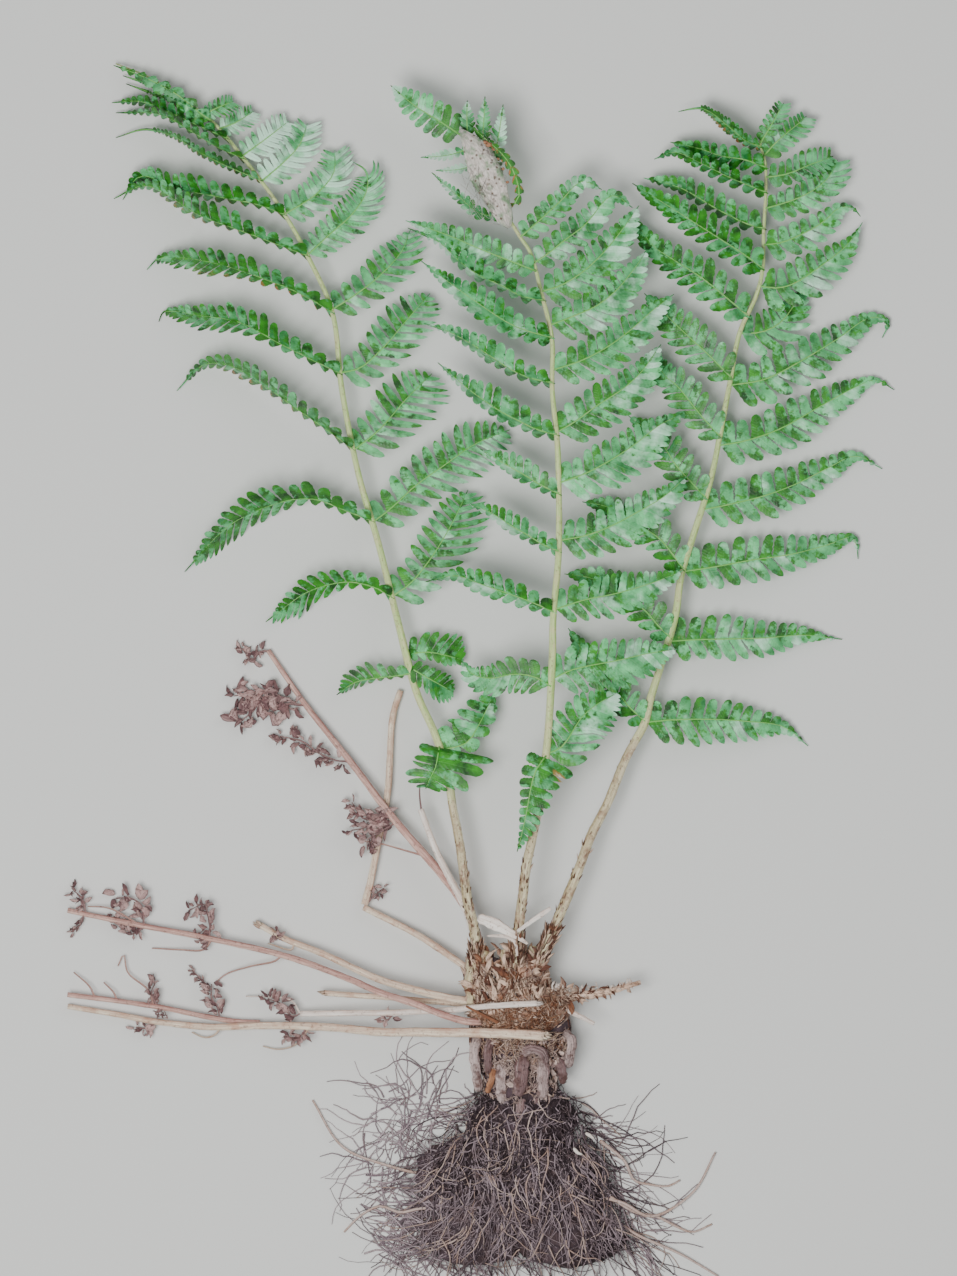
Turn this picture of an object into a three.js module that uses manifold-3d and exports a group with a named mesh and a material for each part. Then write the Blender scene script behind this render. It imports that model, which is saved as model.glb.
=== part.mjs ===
// Marginal wood fern, uprooted and laid down flat.
// Millimetres. +X right, +Y from the crown towards the frond tips, +Z up.
// The origin is on the surface, under the crown, where the rhizome rests.

import * as THREE from "three";
import { mergeVertices } from "three/addons/utils/BufferGeometryUtils.js";
import Module from "manifold-3d";

const wasm = await Module();
wasm.setup();

// Driving dimensions
const BLADE_THICKNESS = 0.75;     // leaflet, from face to face
const SEAT_GAP = 0.3;             // between two pieces that touch
const FLOOR_CLEARANCE = 0.3;      // lowest height of a leaf above the surface
const ARM_STALK_WIDTH = 1.7;      // leaf arm where it leaves the midrib
const ARM_TRUE_WIDTH = 0.135;     // half width of a flat leaf arm, as a share of its length
const RIB_BAND = 0.13;            // uncut band beside the rib, as a share of the half width
const LEAFLET_PITCH = 18.5;       // one pair of leaflets on a long leaf arm
const STIPE_RADIUS = 2.8;         // green fronds' stalks
const RACHIS_TIP_RADIUS = 0.7;

// Materials
const finish = (colour, roughness) =>
  new THREE.MeshStandardMaterial({ color: colour, roughness, metalness: 0 });
const LEAF = finish(0x5fae5c, 0.45);
const STIPE = finish(0xbfae93, 0.7);
const RHIZOME = finish(0x8d7068, 0.85);
const RUST = finish(0x8c5533, 0.8);
const ROOT = finish(0x40302e, 0.9);
const DEAD = finish(0x9a6d62, 0.75);
const STRAW = finish(0xd8c8ac, 0.7);
const BONE = finish(0xe6ded2, 0.7);
const SILK = finish(0xcfcdbb, 0.85);

// Seeded random numbers, the same on each run
function randomFrom(seed) {
  let state = seed;
  return (low, high) => {
    state = (Math.imul(state, 1664525) + 1013904223) >>> 0;
    return low + (high - low) * (state / 4294967296);
  };
}

const point = (xyz) => new THREE.Vector3(xyz[0], xyz[1], xyz[2]);
const lerp = (from, to, share) => from + (to - from) * share;
const clamp = (value, low, high) => Math.min(Math.max(value, low), high);
const UP = new THREE.Vector3(0, 0, 1);

// A closed mesh becomes a solid that can be cut and joined, and then a geometry again
function solidFrom(geometry) {
  geometry.deleteAttribute("normal");
  geometry.deleteAttribute("uv");
  const merged = mergeVertices(geometry, 1e-4);
  const mesh = new wasm.Mesh({
    numProp: 3,
    vertProperties: new Float32Array(merged.attributes.position.array),
    triVerts: new Uint32Array(merged.index.array),
  });
  return new wasm.Manifold(mesh);
}

const joined = (solids) => wasm.Manifold.union(solids);

function geometryFrom(solid) {
  const mesh = solid.getMesh();
  const geometry = new THREE.BufferGeometry();
  geometry.setAttribute("position", new THREE.BufferAttribute(mesh.vertProperties, 3));
  geometry.setIndex(new THREE.BufferAttribute(mesh.triVerts, 1));
  return geometry;
}

function geometryFromFaces(corners, faces) {
  const geometry = new THREE.BufferGeometry();
  const flat = corners.flatMap((corner) => [corner.x, corner.y, corner.z]);
  geometry.setAttribute("position", new THREE.Float32BufferAttribute(flat, 3));
  geometry.setIndex(faces.flat());
  return geometry;
}

// Sideways and upward directions across a path that lies nearly flat
function frameAt(tangent) {
  const left = new THREE.Vector3().crossVectors(UP, tangent);
  if (left.length() < 0.05) left.set(1, 0, 0);
  left.normalize();
  const rise = new THREE.Vector3().crossVectors(tangent, left).normalize();
  return { left, rise };
}

// A stalk or root: rings carried along a smooth curve. The radius changes along it, and is half
// of the width seen from above, whatever the number of sides.
const RING_SPREAD = { 3: 0.75, 4: 0.707, 5: 0.905, 6: 0.866, 7: 0.95 };

function stalk(route, radiusAt, sides, steps, flatness = 1) {
  const curve = new THREE.CatmullRomCurve3(route.map(point), false, "centripetal");
  const corners = [];
  const faces = [];
  for (let step = 0; step <= steps; step += 1) {
    const share = step / steps;
    const centre = curve.getPointAt(share);
    const { left, rise } = frameAt(curve.getTangentAt(share));
    const radius = radiusAt(share) / RING_SPREAD[sides];
    for (let side = 0; side < sides; side += 1) {
      const angle = (2 * Math.PI * (side + 0.5)) / sides;
      corners.push(centre.clone()
        .addScaledVector(left, radius * Math.cos(angle))
        .addScaledVector(rise, radius * flatness * Math.sin(angle)));
    }
  }
  for (let step = 0; step < steps; step += 1) {
    for (let side = 0; side < sides; side += 1) {
      const next = (side + 1) % sides;
      const near = step * sides;
      const far = near + sides;
      faces.push([near + side, near + next, far + next], [near + side, far + next, far + side]);
    }
  }
  const last = steps * sides;
  for (let side = 1; side < sides - 1; side += 1) {
    faces.push([0, side + 1, side], [last, last + side, last + side + 1]);
  }
  return solidFrom(geometryFromFaces(corners, faces));
}

const taper = (from, to) => (share) => lerp(from, to, share);

// A lump: a sphere of triangles, stretched and made uneven by a formula
function lump(centre, radii, detail, unevenness = 0) {
  const geometry = new THREE.IcosahedronGeometry(1, detail);
  const place = geometry.attributes.position;
  for (let i = 0; i < place.count; i += 1) {
    const direction = new THREE.Vector3().fromBufferAttribute(place, i).normalize();
    const wave = Math.sin(5 * direction.x + 1) * Math.sin(6 * direction.y + 2)
      * Math.cos(4 * direction.z);
    const size = 1 + unevenness * wave;
    place.setXYZ(i, centre[0] + radii[0] * direction.x * size,
      centre[1] + radii[1] * direction.y * size, centre[2] + radii[2] * direction.z * size);
  }
  return solidFrom(geometry);
}

// Half width along a leaf arm, as a share of its greatest: full near the stalk, thin at the tip
function armProfile(share) {
  if (share < 0.3) return 0.82 + 0.6 * share;
  return Math.max(1 - ((share - 0.3) / 0.7) ** 1.8, 0.05);
}

// A drooping lowest leaf arm is widest at its foot
const footProfile = (share) => Math.max(1 - share ** 1.1, 0.06);

// One leaf arm as a thin plate cut to its rib: a narrow band along the rib, and on each side
// a row of leaflets that lean towards the tip. A side is { width, tilt, lean, pointed }: width
// as seen from above, tilt the rise of that side in radians.
function leafPlate(curve, sides, pairs, profile) {
  const corners = [];
  const normals = [];
  const place = (share, lateral, side) => {
    const tangent = curve.getTangentAt(clamp(share, 0, 1));
    const flatTangent = new THREE.Vector3(tangent.x, tangent.y, 0).normalize();
    const left = new THREE.Vector3().crossVectors(UP, flatTangent);
    const across = left.multiplyScalar(side.hand);
    const corner = curve.getPointAt(clamp(share, 0, 1)).addScaledVector(across, lateral);
    corner.z += lateral * Math.tan(side.tilt);
    const slope = across.clone().multiplyScalar(Math.cos(side.tilt))
      .addScaledVector(UP, Math.sin(side.tilt));
    const normal = new THREE.Vector3().crossVectors(tangent, slope)
      .multiplyScalar(side.hand).normalize();
    corners.push(corner);
    normals.push(normal);
    return corners.length - 1;
  };
  const length = curve.getLength();
  const start = clamp(3.2 / length, 0.03, 0.12);
  const end = 0.87;
  const shareOf = (pair) => {
    const even = pair / pairs;
    return start + (end - start) * (1.22 * even - 0.22 * even * even);
  };
  const bandAt = (share, side) =>
    Math.max(RIB_BAND * side.width * profile(share), 0.8 * Math.cos(side.tilt));
  const rows = sides.map((side) => {
    const foot = place(0, 0.5 * ARM_STALK_WIDTH * Math.cos(side.tilt), side);
    const notches = [];
    const outers = [];
    for (let pair = 0; pair <= pairs; pair += 1) {
      const share = shareOf(pair);
      notches.push(place(share, bandAt(share, side), side));
      if (pair === pairs) break;
      const pitch = shareOf(pair + 1) - share;
      const width = side.width * profile(share + 0.5 * pitch);
      const reach = (side.lean * width) / length;
      const far = place(share + (side.pointed ? 0.6 : 0.86) * pitch + reach,
        (side.pointed ? 1 : 0.88) * width, side);
      const near = side.pointed ? [] :
        [place(share + 0.12 * pitch + 0.93 * reach, 0.93 * width, side)];
      outers.push([...near, far]);
    }
    return { foot, notches, outers };
  });
  const tip = place(1, 0, sides[0]);
  const [leftRow, rightRow] = rows;
  const faces = [[rightRow.foot, leftRow.notches[0], leftRow.foot],
    [rightRow.foot, rightRow.notches[0], leftRow.notches[0]]];
  for (let pair = 0; pair < pairs; pair += 1) {
    const [nearLeft, farLeft] = leftRow.notches.slice(pair, pair + 2);
    const [nearRight, farRight] = rightRow.notches.slice(pair, pair + 2);
    faces.push([nearRight, farRight, farLeft], [nearRight, farLeft, nearLeft]);
    const leafletLeft = [nearLeft, farLeft, ...leftRow.outers[pair].toReversed()];
    const leafletRight = [farRight, nearRight, ...rightRow.outers[pair]];
    for (const [root, ...others] of [leafletLeft, leafletRight]) {
      others.slice(1).forEach((corner, i) => faces.push([root, others[i], corner]));
    }
  }
  faces.push([rightRow.notches[pairs], tip, leftRow.notches[pairs]]);
  const rim = [rightRow.foot];
  for (let pair = 0; pair < pairs; pair += 1) {
    rim.push(rightRow.notches[pair], ...rightRow.outers[pair]);
  }
  rim.push(rightRow.notches[pairs], tip, leftRow.notches[pairs]);
  for (let pair = pairs - 1; pair >= 0; pair -= 1) {
    rim.push(...leftRow.outers[pair].toReversed(), leftRow.notches[pair]);
  }
  rim.push(leftRow.foot);
  return solidFrom(plateGeometry(corners, normals, faces, rim, 0.5 * BLADE_THICKNESS));
}

// A plate: the same triangles on both faces, and a wall along its rim
function plateGeometry(corners, normals, faces, rim, half) {
  const count = corners.length;
  const upper = corners.map((corner, i) => corner.clone().addScaledVector(normals[i], half));
  const lower = corners.map((corner, i) => corner.clone().addScaledVector(normals[i], -half));
  const walls = rim.flatMap((near, i) => {
    const far = rim[(i + 1) % rim.length];
    return [[near + count, far + count, far], [near + count, far, near]];
  });
  const under = faces.map(([a, b, c]) => [a + count, c + count, b + count]);
  return geometryFromFaces([...upper, ...lower], [...faces, ...under, ...walls]);
}

// Height of a point of the midrib nearest to a place seen from above
function seatOn(midrib, xy) {
  let best = null;
  for (let step = 0; step <= 400; step += 1) {
    const sample = midrib.getPointAt(step / 400);
    const distance = Math.hypot(sample.x - xy[0], sample.y - xy[1]);
    if (best === null || distance < best.distance) best = { sample, distance };
  }
  return best.sample;
}

// A leaf arm grows from its seat on the midrib. route is seen from above, up is the half width
// on the side of the frond's tip, down on the other side, endZ the height of its tip.
function leafArm(midrib, hand, arm, endZ) {
  const seat = seatOn(midrib, arm.route[0]);
  const plan = [[seat.x, seat.y], ...arm.route.slice(1)];
  const flatCurve = new THREE.CatmullRomCurve3(
    plan.map(([x, y]) => new THREE.Vector3(x, y, 0)), false, "centripetal");
  const length = flatCurve.getLength();
  const profile = arm.foot ? footProfile : armProfile;
  const trueWidth = ARM_TRUE_WIDTH * length + 1.5;
  const tipSide = {
    hand, width: arm.up, lean: 0.22, pointed: false,
    tilt: hand < 0 ? Math.acos(clamp(arm.up / trueWidth, 0.3, 0.97)) : -0.1,
  };
  const footSide = {
    hand: -hand, width: arm.down, lean: hand < 0 ? 0.35 : 0.62,
    pointed: hand > 0 || arm.down < 5,
    tilt: hand < 0 ? -Math.acos(clamp(arm.down / trueWidth, 0.26, 0.97)) : 0.08,
  };
  if (arm.flat) {
    tipSide.tilt = 0.06;
    footSide.tilt = -0.06;
  }
  const heightAt = (share) => {
    const line = lerp(seat.z + (arm.lift ?? 0), arm.endZ ?? endZ, share);
    const bow = (arm.bow ?? 2.5) * Math.sin(Math.PI * share);
    const drop = Math.max(
      -Math.tan(footSide.tilt) * footSide.width, -Math.tan(tipSide.tilt) * tipSide.width, 0);
    return Math.max(line + bow, drop * profile(share) + FLOOR_CLEARANCE + BLADE_THICKNESS);
  };
  const samples = [];
  for (let step = 0; step <= 12; step += 1) {
    const share = step / 12;
    const sample = flatCurve.getPointAt(share);
    const height = share === 0 ? seat.z : heightAt(share);
    samples.push(new THREE.Vector3(sample.x, sample.y, height));
  }
  const curve = new THREE.CatmullRomCurve3(samples, false, "centripetal");
  const pairs = clamp(Math.round(length / LEAFLET_PITCH), 2, 6);
  const sides = hand > 0 ? [tipSide, footSide] : [footSide, tipSide];
  return leafPlate(curve, sides, arm.pairs ?? pairs, profile);
}

// A frond: its midrib, and the leaf arms on both sides of it
function frond(spec) {
  const midrib = new THREE.CatmullRomCurve3(spec.midrib.map(point), false, "centripetal");
  const rod = stalk(spec.midrib, taper(spec.radius, RACHIS_TIP_RADIUS), 5, spec.steps);
  const arms = [
    ...spec.left.map((arm) => leafArm(midrib, -1, arm, spec.leftEndZ)),
    ...spec.right.map((arm) => leafArm(midrib, 1, arm, spec.rightEndZ)),
  ];
  return joined([rod, ...arms]);
}

const LEFT_FROND = {
  radius: 2.1,
  steps: 16,
  leftEndZ: 2.5,
  rightEndZ: 7,
  midrib: [[-33.8, 118, 21], [-35.3, 128.6, 20], [-41.8, 151.5, 19], [-51.6, 174, 18],
    [-61, 209.6, 17.5], [-70.7, 248.4, 17], [-80.4, 282, 17], [-88.8, 324.7, 17],
    [-93.6, 363.4, 17], [-105.2, 390, 16.5], [-117.2, 411.8, 16], [-137.6, 439.8, 14],
    [-154, 459, 11], [-170, 471, 8], [-184.4, 480.6, 5.5], [-202, 488, 3]],
  left: [
    { route: [[-35, 146], [-39, 137], [-43, 129], [-46, 123]], up: 15, down: 20,
      foot: true, flat: true, lift: 5, endZ: 25, pairs: 4 },
    { route: [[-53.5, 184], [-62, 182], [-72, 181], [-82, 179], [-91.6, 172.6]], up: 9, down: 3,
      endZ: 8 },
    { route: [[-63.4, 222], [-72, 226], [-85, 229], [-98, 227], [-108, 223], [-118, 216],
      [-127, 209]], up: 8, down: 8, endZ: 6 },
    { route: [[-75.5, 259], [-88, 265], [-101, 270], [-114, 270], [-137, 262], [-149, 254],
      [-167.6, 234]], up: 9, down: 7 },
    { route: [[-83.5, 295], [-95, 304], [-110, 314.5], [-130, 328.5], [-145, 337],
      [-158, 337.5], [-171.5, 324.5]], up: 6.5, down: 4.5 },
    { route: [[-91, 333], [-100, 338], [-120, 348], [-140, 358.5], [-160, 362], [-178, 364],
      [-180.5, 359]], up: 6.5, down: 5.5 },
    { route: [[-94, 364], [-110, 373], [-130, 381], [-150, 387.5], [-170, 391], [-180, 391],
      [-186.5, 385]], up: 7.5, down: 5 },
    { route: [[-107, 391.5], [-120, 397], [-140, 404.5], [-160, 412], [-187, 427],
      [-203, 420.5]], up: 8, down: 3 },
    { route: [[-116, 413], [-130, 417], [-150, 421], [-170, 425], [-190, 431.5],
      [-198.5, 420]], up: 8, down: 4 },
    { route: [[-129, 429.5], [-145, 436], [-160, 443.5], [-172, 451], [-187, 455],
      [-202, 451]], up: 6, down: 3.5 },
    { route: [[-138, 440], [-150, 445.5], [-165, 454.5], [-180, 462.5], [-202, 463.5]],
      up: 5, down: 3 },
    { route: [[-146, 450], [-160, 456.5], [-175, 463.5], [-190, 469], [-204, 468.5]],
      up: 4, down: 2.5 },
    { route: [[-155, 460], [-175, 469.5], [-197, 478]], up: 2.5, down: 2.5 },
    { route: [[-165, 468], [-180, 475.5], [-198.5, 482]], up: 2, down: 2, pairs: 2 },
  ],
  right: [
    { route: [[-34.5, 146], [-24, 158], [-17, 172]], up: 14, down: 10, endZ: 12 },
    { route: [[-52, 187], [-44, 180], [-33, 174]], up: 7, down: 8, lift: 2, endZ: 12 },
    { route: [[-57, 193], [-46, 194], [-28, 190]], up: 12, down: 5, lift: -4, endZ: 8 },
    { route: [[-62.8, 222], [-55, 228], [-48, 236], [-41, 246], [-33, 260], [-26, 275]],
      up: 13, down: 17 },
    { route: [[-73, 259], [-64, 266], [-52, 277], [-38, 287], [-22, 298], [-5, 305]],
      up: 14, down: 15.5 },
    { route: [[-83, 294.5], [-70, 305], [-57, 320], [-44, 333]], up: 14, down: 17 },
    { route: [[-90, 333], [-80, 335.5], [-68, 346], [-57, 359], [-45, 373]], up: 12.5, down: 14 },
    { route: [[-94.5, 365], [-83.6, 371], [-70, 381.6], [-58.8, 394.4], [-54.8, 404.8]],
      up: 11.5, down: 12 },
    { route: [[-106, 392], [-94, 403], [-84, 412], [-76.5, 424], [-77, 434], [-85, 439.5]],
      up: 10, down: 11 },
    { route: [[-116, 413], [-102, 422], [-93, 433], [-92.5, 444.5]], up: 9.5, down: 10 },
    { route: [[-128, 430], [-117.5, 438.5], [-110, 447], [-106, 458]], up: 9, down: 9.5 },
    { route: [[-139, 441], [-128, 449], [-115.5, 459]], up: 6.5, down: 7.5 },
    { route: [[-151, 454], [-142, 458], [-133, 464]], up: 5, down: 6 },
    { route: [[-158, 462], [-150, 466], [-143, 469]], up: 3.5, down: 4.5, pairs: 2 },
  ],
};

const MIDDLE_FROND = {
  radius: 2,
  steps: 18,
  leftEndZ: 27,
  rightEndZ: 27,
  midrib: [[10.2, 122, 38], [13, 145, 38], [14.2, 159, 38], [15.9, 190, 38], [16.3, 210.7, 38],
    [19, 243.3, 38], [19, 281, 38], [18.4, 297.5, 38], [15.8, 325, 38], [15.7, 349, 38],
    [10.3, 373, 37], [4.9, 392.5, 36], [0, 400, 35.5], [-6, 410, 35], [-13, 424, 34],
    [-20, 437, 33], [-28, 449, 31], [-33, 454, 30]],
  left: [
    { route: [[14, 142], [8, 136], [5.5, 128], [3.5, 117], [1, 105], [-1.6, 95]], up: 9, down: 15,
      foot: true, flat: true, lift: 4, endZ: 42, pairs: 6 },
    { route: [[16, 177], [6, 182], [-4, 183], [-14, 181], [-24, 183], [-29, 190]], up: 9,
      down: 10, flat: true },
    { route: [[16.8, 214], [10, 217], [0, 221], [-10, 224.5], [-20, 228], [-32, 232],
      [-47, 229]], up: 8, down: 5.5 },
    { route: [[19, 244], [12, 247], [4, 252], [-4, 256.5], [-13, 262.5], [-27, 268.5]],
      up: 7, down: 3.5 },
    { route: [[18.5, 273], [10, 277], [2, 282], [-6, 286.5], [-20, 295]], up: 9, down: 4 },
    { route: [[17.5, 302], [8, 304.5], [0, 308.5], [-8, 312.5], [-18, 319], [-28, 326.5],
      [-41, 338]], up: 9.5, down: 4 },
    { route: [[15.5, 328], [5, 330], [-4, 334], [-14, 340.5], [-24, 347], [-36, 353.5],
      [-48, 357.5]], up: 8.5, down: 3 },
    { route: [[15, 350], [5, 353], [-5, 357], [-21, 367.4], [-37.5, 379.4], [-49.4, 388.6]],
      up: 8.5, down: 7 },
    { route: [[11.5, 369], [0, 371], [-8, 375.5], [-20, 381], [-30, 388], [-40, 397.5],
      [-56, 405]], up: 7, down: 2.5 },
    { route: [[7.5, 383], [-5, 388], [-20, 394], [-36, 401], [-57, 408.6]], up: 8, down: 6,
      lift: 3, bow: 5, flat: true },
    { route: [[-6, 410], [-20, 412], [-30, 420], [-44, 432.5]], up: 4, down: 4 },
    { route: [[-20, 437], [-30, 434], [-42, 433.5]], up: 2.5, down: 2 },
    { route: [[-25, 444], [-36, 441], [-49.5, 440]], up: 3, down: 3 },
  ],
  right: [
    { route: [[13.5, 143], [20, 146.5], [25, 153], [30, 161], [38, 168], [49, 174]],
      up: 12, down: 16 },
    { route: [[16, 180], [25, 185], [33, 187], [49, 190], [62, 193], [78, 195.5]],
      up: 12.5, down: 15 },
    { route: [[17, 215], [32, 220], [45, 222.5], [58, 226], [70, 230], [81, 234.6]],
      up: 10.5, down: 11.5 },
    { route: [[19.5, 249], [33, 252], [46, 257], [59, 264], [71, 271], [83, 281.5]],
      up: 10.5, down: 13.5 },
    { route: [[19, 277.5], [33, 283], [46, 290], [58, 298], [68, 306], [81, 313]],
      up: 10.5, down: 14.5 },
    { route: [[18, 303], [28, 309], [39, 317], [50, 324], [60, 333], [70, 347]],
      up: 10.5, down: 13.5 },
    { route: [[15.8, 334], [31, 339], [44, 346], [56, 355], [66, 364], [76.4, 372]],
      up: 9.5, down: 12.5 },
    { route: [[14.6, 356.6], [27, 361], [38, 366], [48, 374], [57, 385], [63.4, 394]],
      up: 9, down: 12.5 },
    { route: [[10.3, 373], [20, 376], [30, 382], [40, 391], [50, 403], [59, 416]],
      up: 9.5, down: 12.5 },
    { route: [[6.5, 387], [14, 392], [22, 398.5], [32, 406], [46, 421], [55.8, 415]],
      up: 8, down: 8.5 },
    { route: [[0, 400], [8, 407], [20, 418], [31, 428], [40.6, 424]], up: 7, down: 7 },
    { route: [[-8, 414], [0, 424], [-3, 433], [-10, 443]], up: 2.5, down: 2.5, bow: 3, endZ: 32 },
    { route: [[-15, 428], [-12, 444], [-10, 455], [-8.5, 466]], up: 4, down: 4, endZ: 34 },
    { route: [[-20, 437], [-18.5, 452], [-17.5, 470]], up: 3.5, down: 3.5, endZ: 34 },
    { route: [[-26, 446], [-26.5, 456], [-26.3, 468]], up: 3.5, down: 3.5, endZ: 34, pairs: 2 },
    { route: [[-30, 451], [-42, 459], [-53, 466], [-64.5, 476]], up: 9, down: 9.5, endZ: 24,
      pairs: 5 },
  ],
};

const RIGHT_FROND = {
  radius: 2.1,
  steps: 16,
  leftEndZ: 9,
  rightEndZ: 1.4,
  midrib: [[57.5, 150, 19], [61.8, 158, 18.5], [65.3, 172, 18], [70, 187, 17.5],
    [77.3, 212, 17], [80.2, 231.6, 17], [86, 251, 17], [95, 280, 17], [99.7, 302.8, 17],
    [104.5, 328, 17], [109.4, 353, 16.5], [118, 372.6, 16], [120.8, 384.6, 16],
    [121.4, 404, 15.5], [122.5, 425, 15], [122.2, 438, 14], [119.8, 449, 12.5],
    [124, 458, 11], [130, 468, 10]],
  left: [
    { route: [[62, 160], [54, 167], [50, 172], [40, 182], [24, 206]], up: 9, down: 8 },
    { route: [[77, 201], [68, 208], [63, 214], [50, 224], [35, 231], [22, 233]], up: 11, down: 9 },
    { route: [[82, 235], [75, 244], [70, 250], [60, 257], [45, 266], [31, 269]], up: 10, down: 9 },
    { route: [[92, 271], [83, 281], [77, 288], [72, 296], [66, 302], [54, 312]], up: 10, down: 9 },
    { route: [[98.5, 301.5], [90, 312], [78, 327], [72, 332], [66, 345]], up: 10.5, down: 9.5 },
    { route: [[104.5, 331], [100, 336], [93, 343], [80, 355], [62, 373]], up: 11, down: 10.5 },
    { route: [[112.5, 362], [106, 368], [92, 379.5], [76, 390], [66, 397], [57, 411]],
      up: 10, down: 10 },
    { route: [[120.5, 385], [110.5, 393], [99.7, 400], [88.8, 407], [67, 421], [56, 428]],
      up: 9, down: 8 },
    { route: [[121.3, 405], [113, 407.5], [98, 415], [80, 425.5], [61.7, 430.6]], up: 8.5, down: 3 },
    { route: [[122, 423], [105, 430.5], [90, 438], [77, 443.5], [67, 440]], up: 4.5, down: 4 },
    { route: [[122.5, 436], [112, 439.5], [100, 441.5], [90, 445], [75, 448.5]], up: 6, down: 6 },
    { route: [[120.5, 446], [109.4, 452], [100.7, 457], [92, 464.5], [79, 464]], up: 2, down: 2 },
  ],
  right: [
    { route: [[62, 159], [72, 160], [93, 160.5], [112, 159.5], [132, 156.5], [144, 147]],
      up: 11.5, down: 13.5 },
    { route: [[73.5, 199], [84, 200], [102, 200.5], [122, 201], [142, 202.5], [161, 200.3]],
      up: 12.5, down: 11 },
    { route: [[81, 234], [100, 237], [116, 240], [134, 242.5], [152, 247], [167, 251],
      [169, 240.5]], up: 13, down: 11.5 },
    { route: [[90.5, 265], [106, 268], [122, 272], [138, 278], [154, 286], [168, 292],
      [181, 285.5]], up: 12, down: 12 },
    { route: [[98, 297], [113, 299.5], [130, 305.5], [147, 315], [167, 326], [178, 330],
      [187, 325]], up: 12.5, down: 12.5 },
    { route: [[104.5, 326.5], [122, 330], [138, 338], [158, 350], [175, 361], [184, 359],
      [181, 351]], up: 11.5, down: 13.5 },
    { route: [[109.5, 353], [120, 353.5], [128, 357], [134, 363], [143, 379]], up: 11, down: 13,
      lift: -2 },
    { route: [[119.5, 376], [128, 375.5], [136, 377.5], [152, 388], [164, 398], [171, 408.5]],
      up: 11, down: 13, endZ: 7 },
    { route: [[121.3, 397], [130, 398.5], [146, 405], [159, 415], [170, 411]], up: 9, down: 8.5,
      endZ: 7 },
    { route: [[122, 415], [138, 420.5], [153, 429.5], [161, 438]], up: 7, down: 9.5, endZ: 8 },
    { route: [[122.3, 431], [138, 437.5], [148, 441.5], [158, 441]], up: 6.5, down: 7.5, endZ: 9 },
    { route: [[121, 441], [128, 447], [135, 453], [140, 461]], up: 6, down: 6.5, endZ: 8 },
    { route: [[119.8, 448], [124, 457], [131.5, 469.5]], up: 7, down: 6, endZ: 10 },
  ],
};

// The green fronds' stalks, from the crown to the first leaf arm
const STIPES = {
  left_stipe: [[-21.5, 34, 27], [-22, 47, 27], [-23, 57, 26.5], [-26, 69, 25.5], [-28, 83, 24],
    [-30, 98, 22.5], [-33.6, 117, 21]],
  middle_stipe: [[-3, 36, 30], [-1.7, 47, 31], [0, 64.3, 33], [1.5, 74.5, 34], [3, 87.8, 35.5],
    [6.5, 104, 37], [10.1, 121, 38]],
  right_stipe: [[7.5, 38, 27], [11.7, 46, 27.5], [16.8, 57, 26.5], [29, 85.7, 24],
    [35, 102, 22], [43.3, 118.4, 20.5], [52.5, 140.8, 19.5], [57.2, 149.4, 19]],
};
const stipe = (route, extra = 0) => stalk(route, taper(STIPE_RADIUS + extra, 2.1 + extra), 5, 8);

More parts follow.
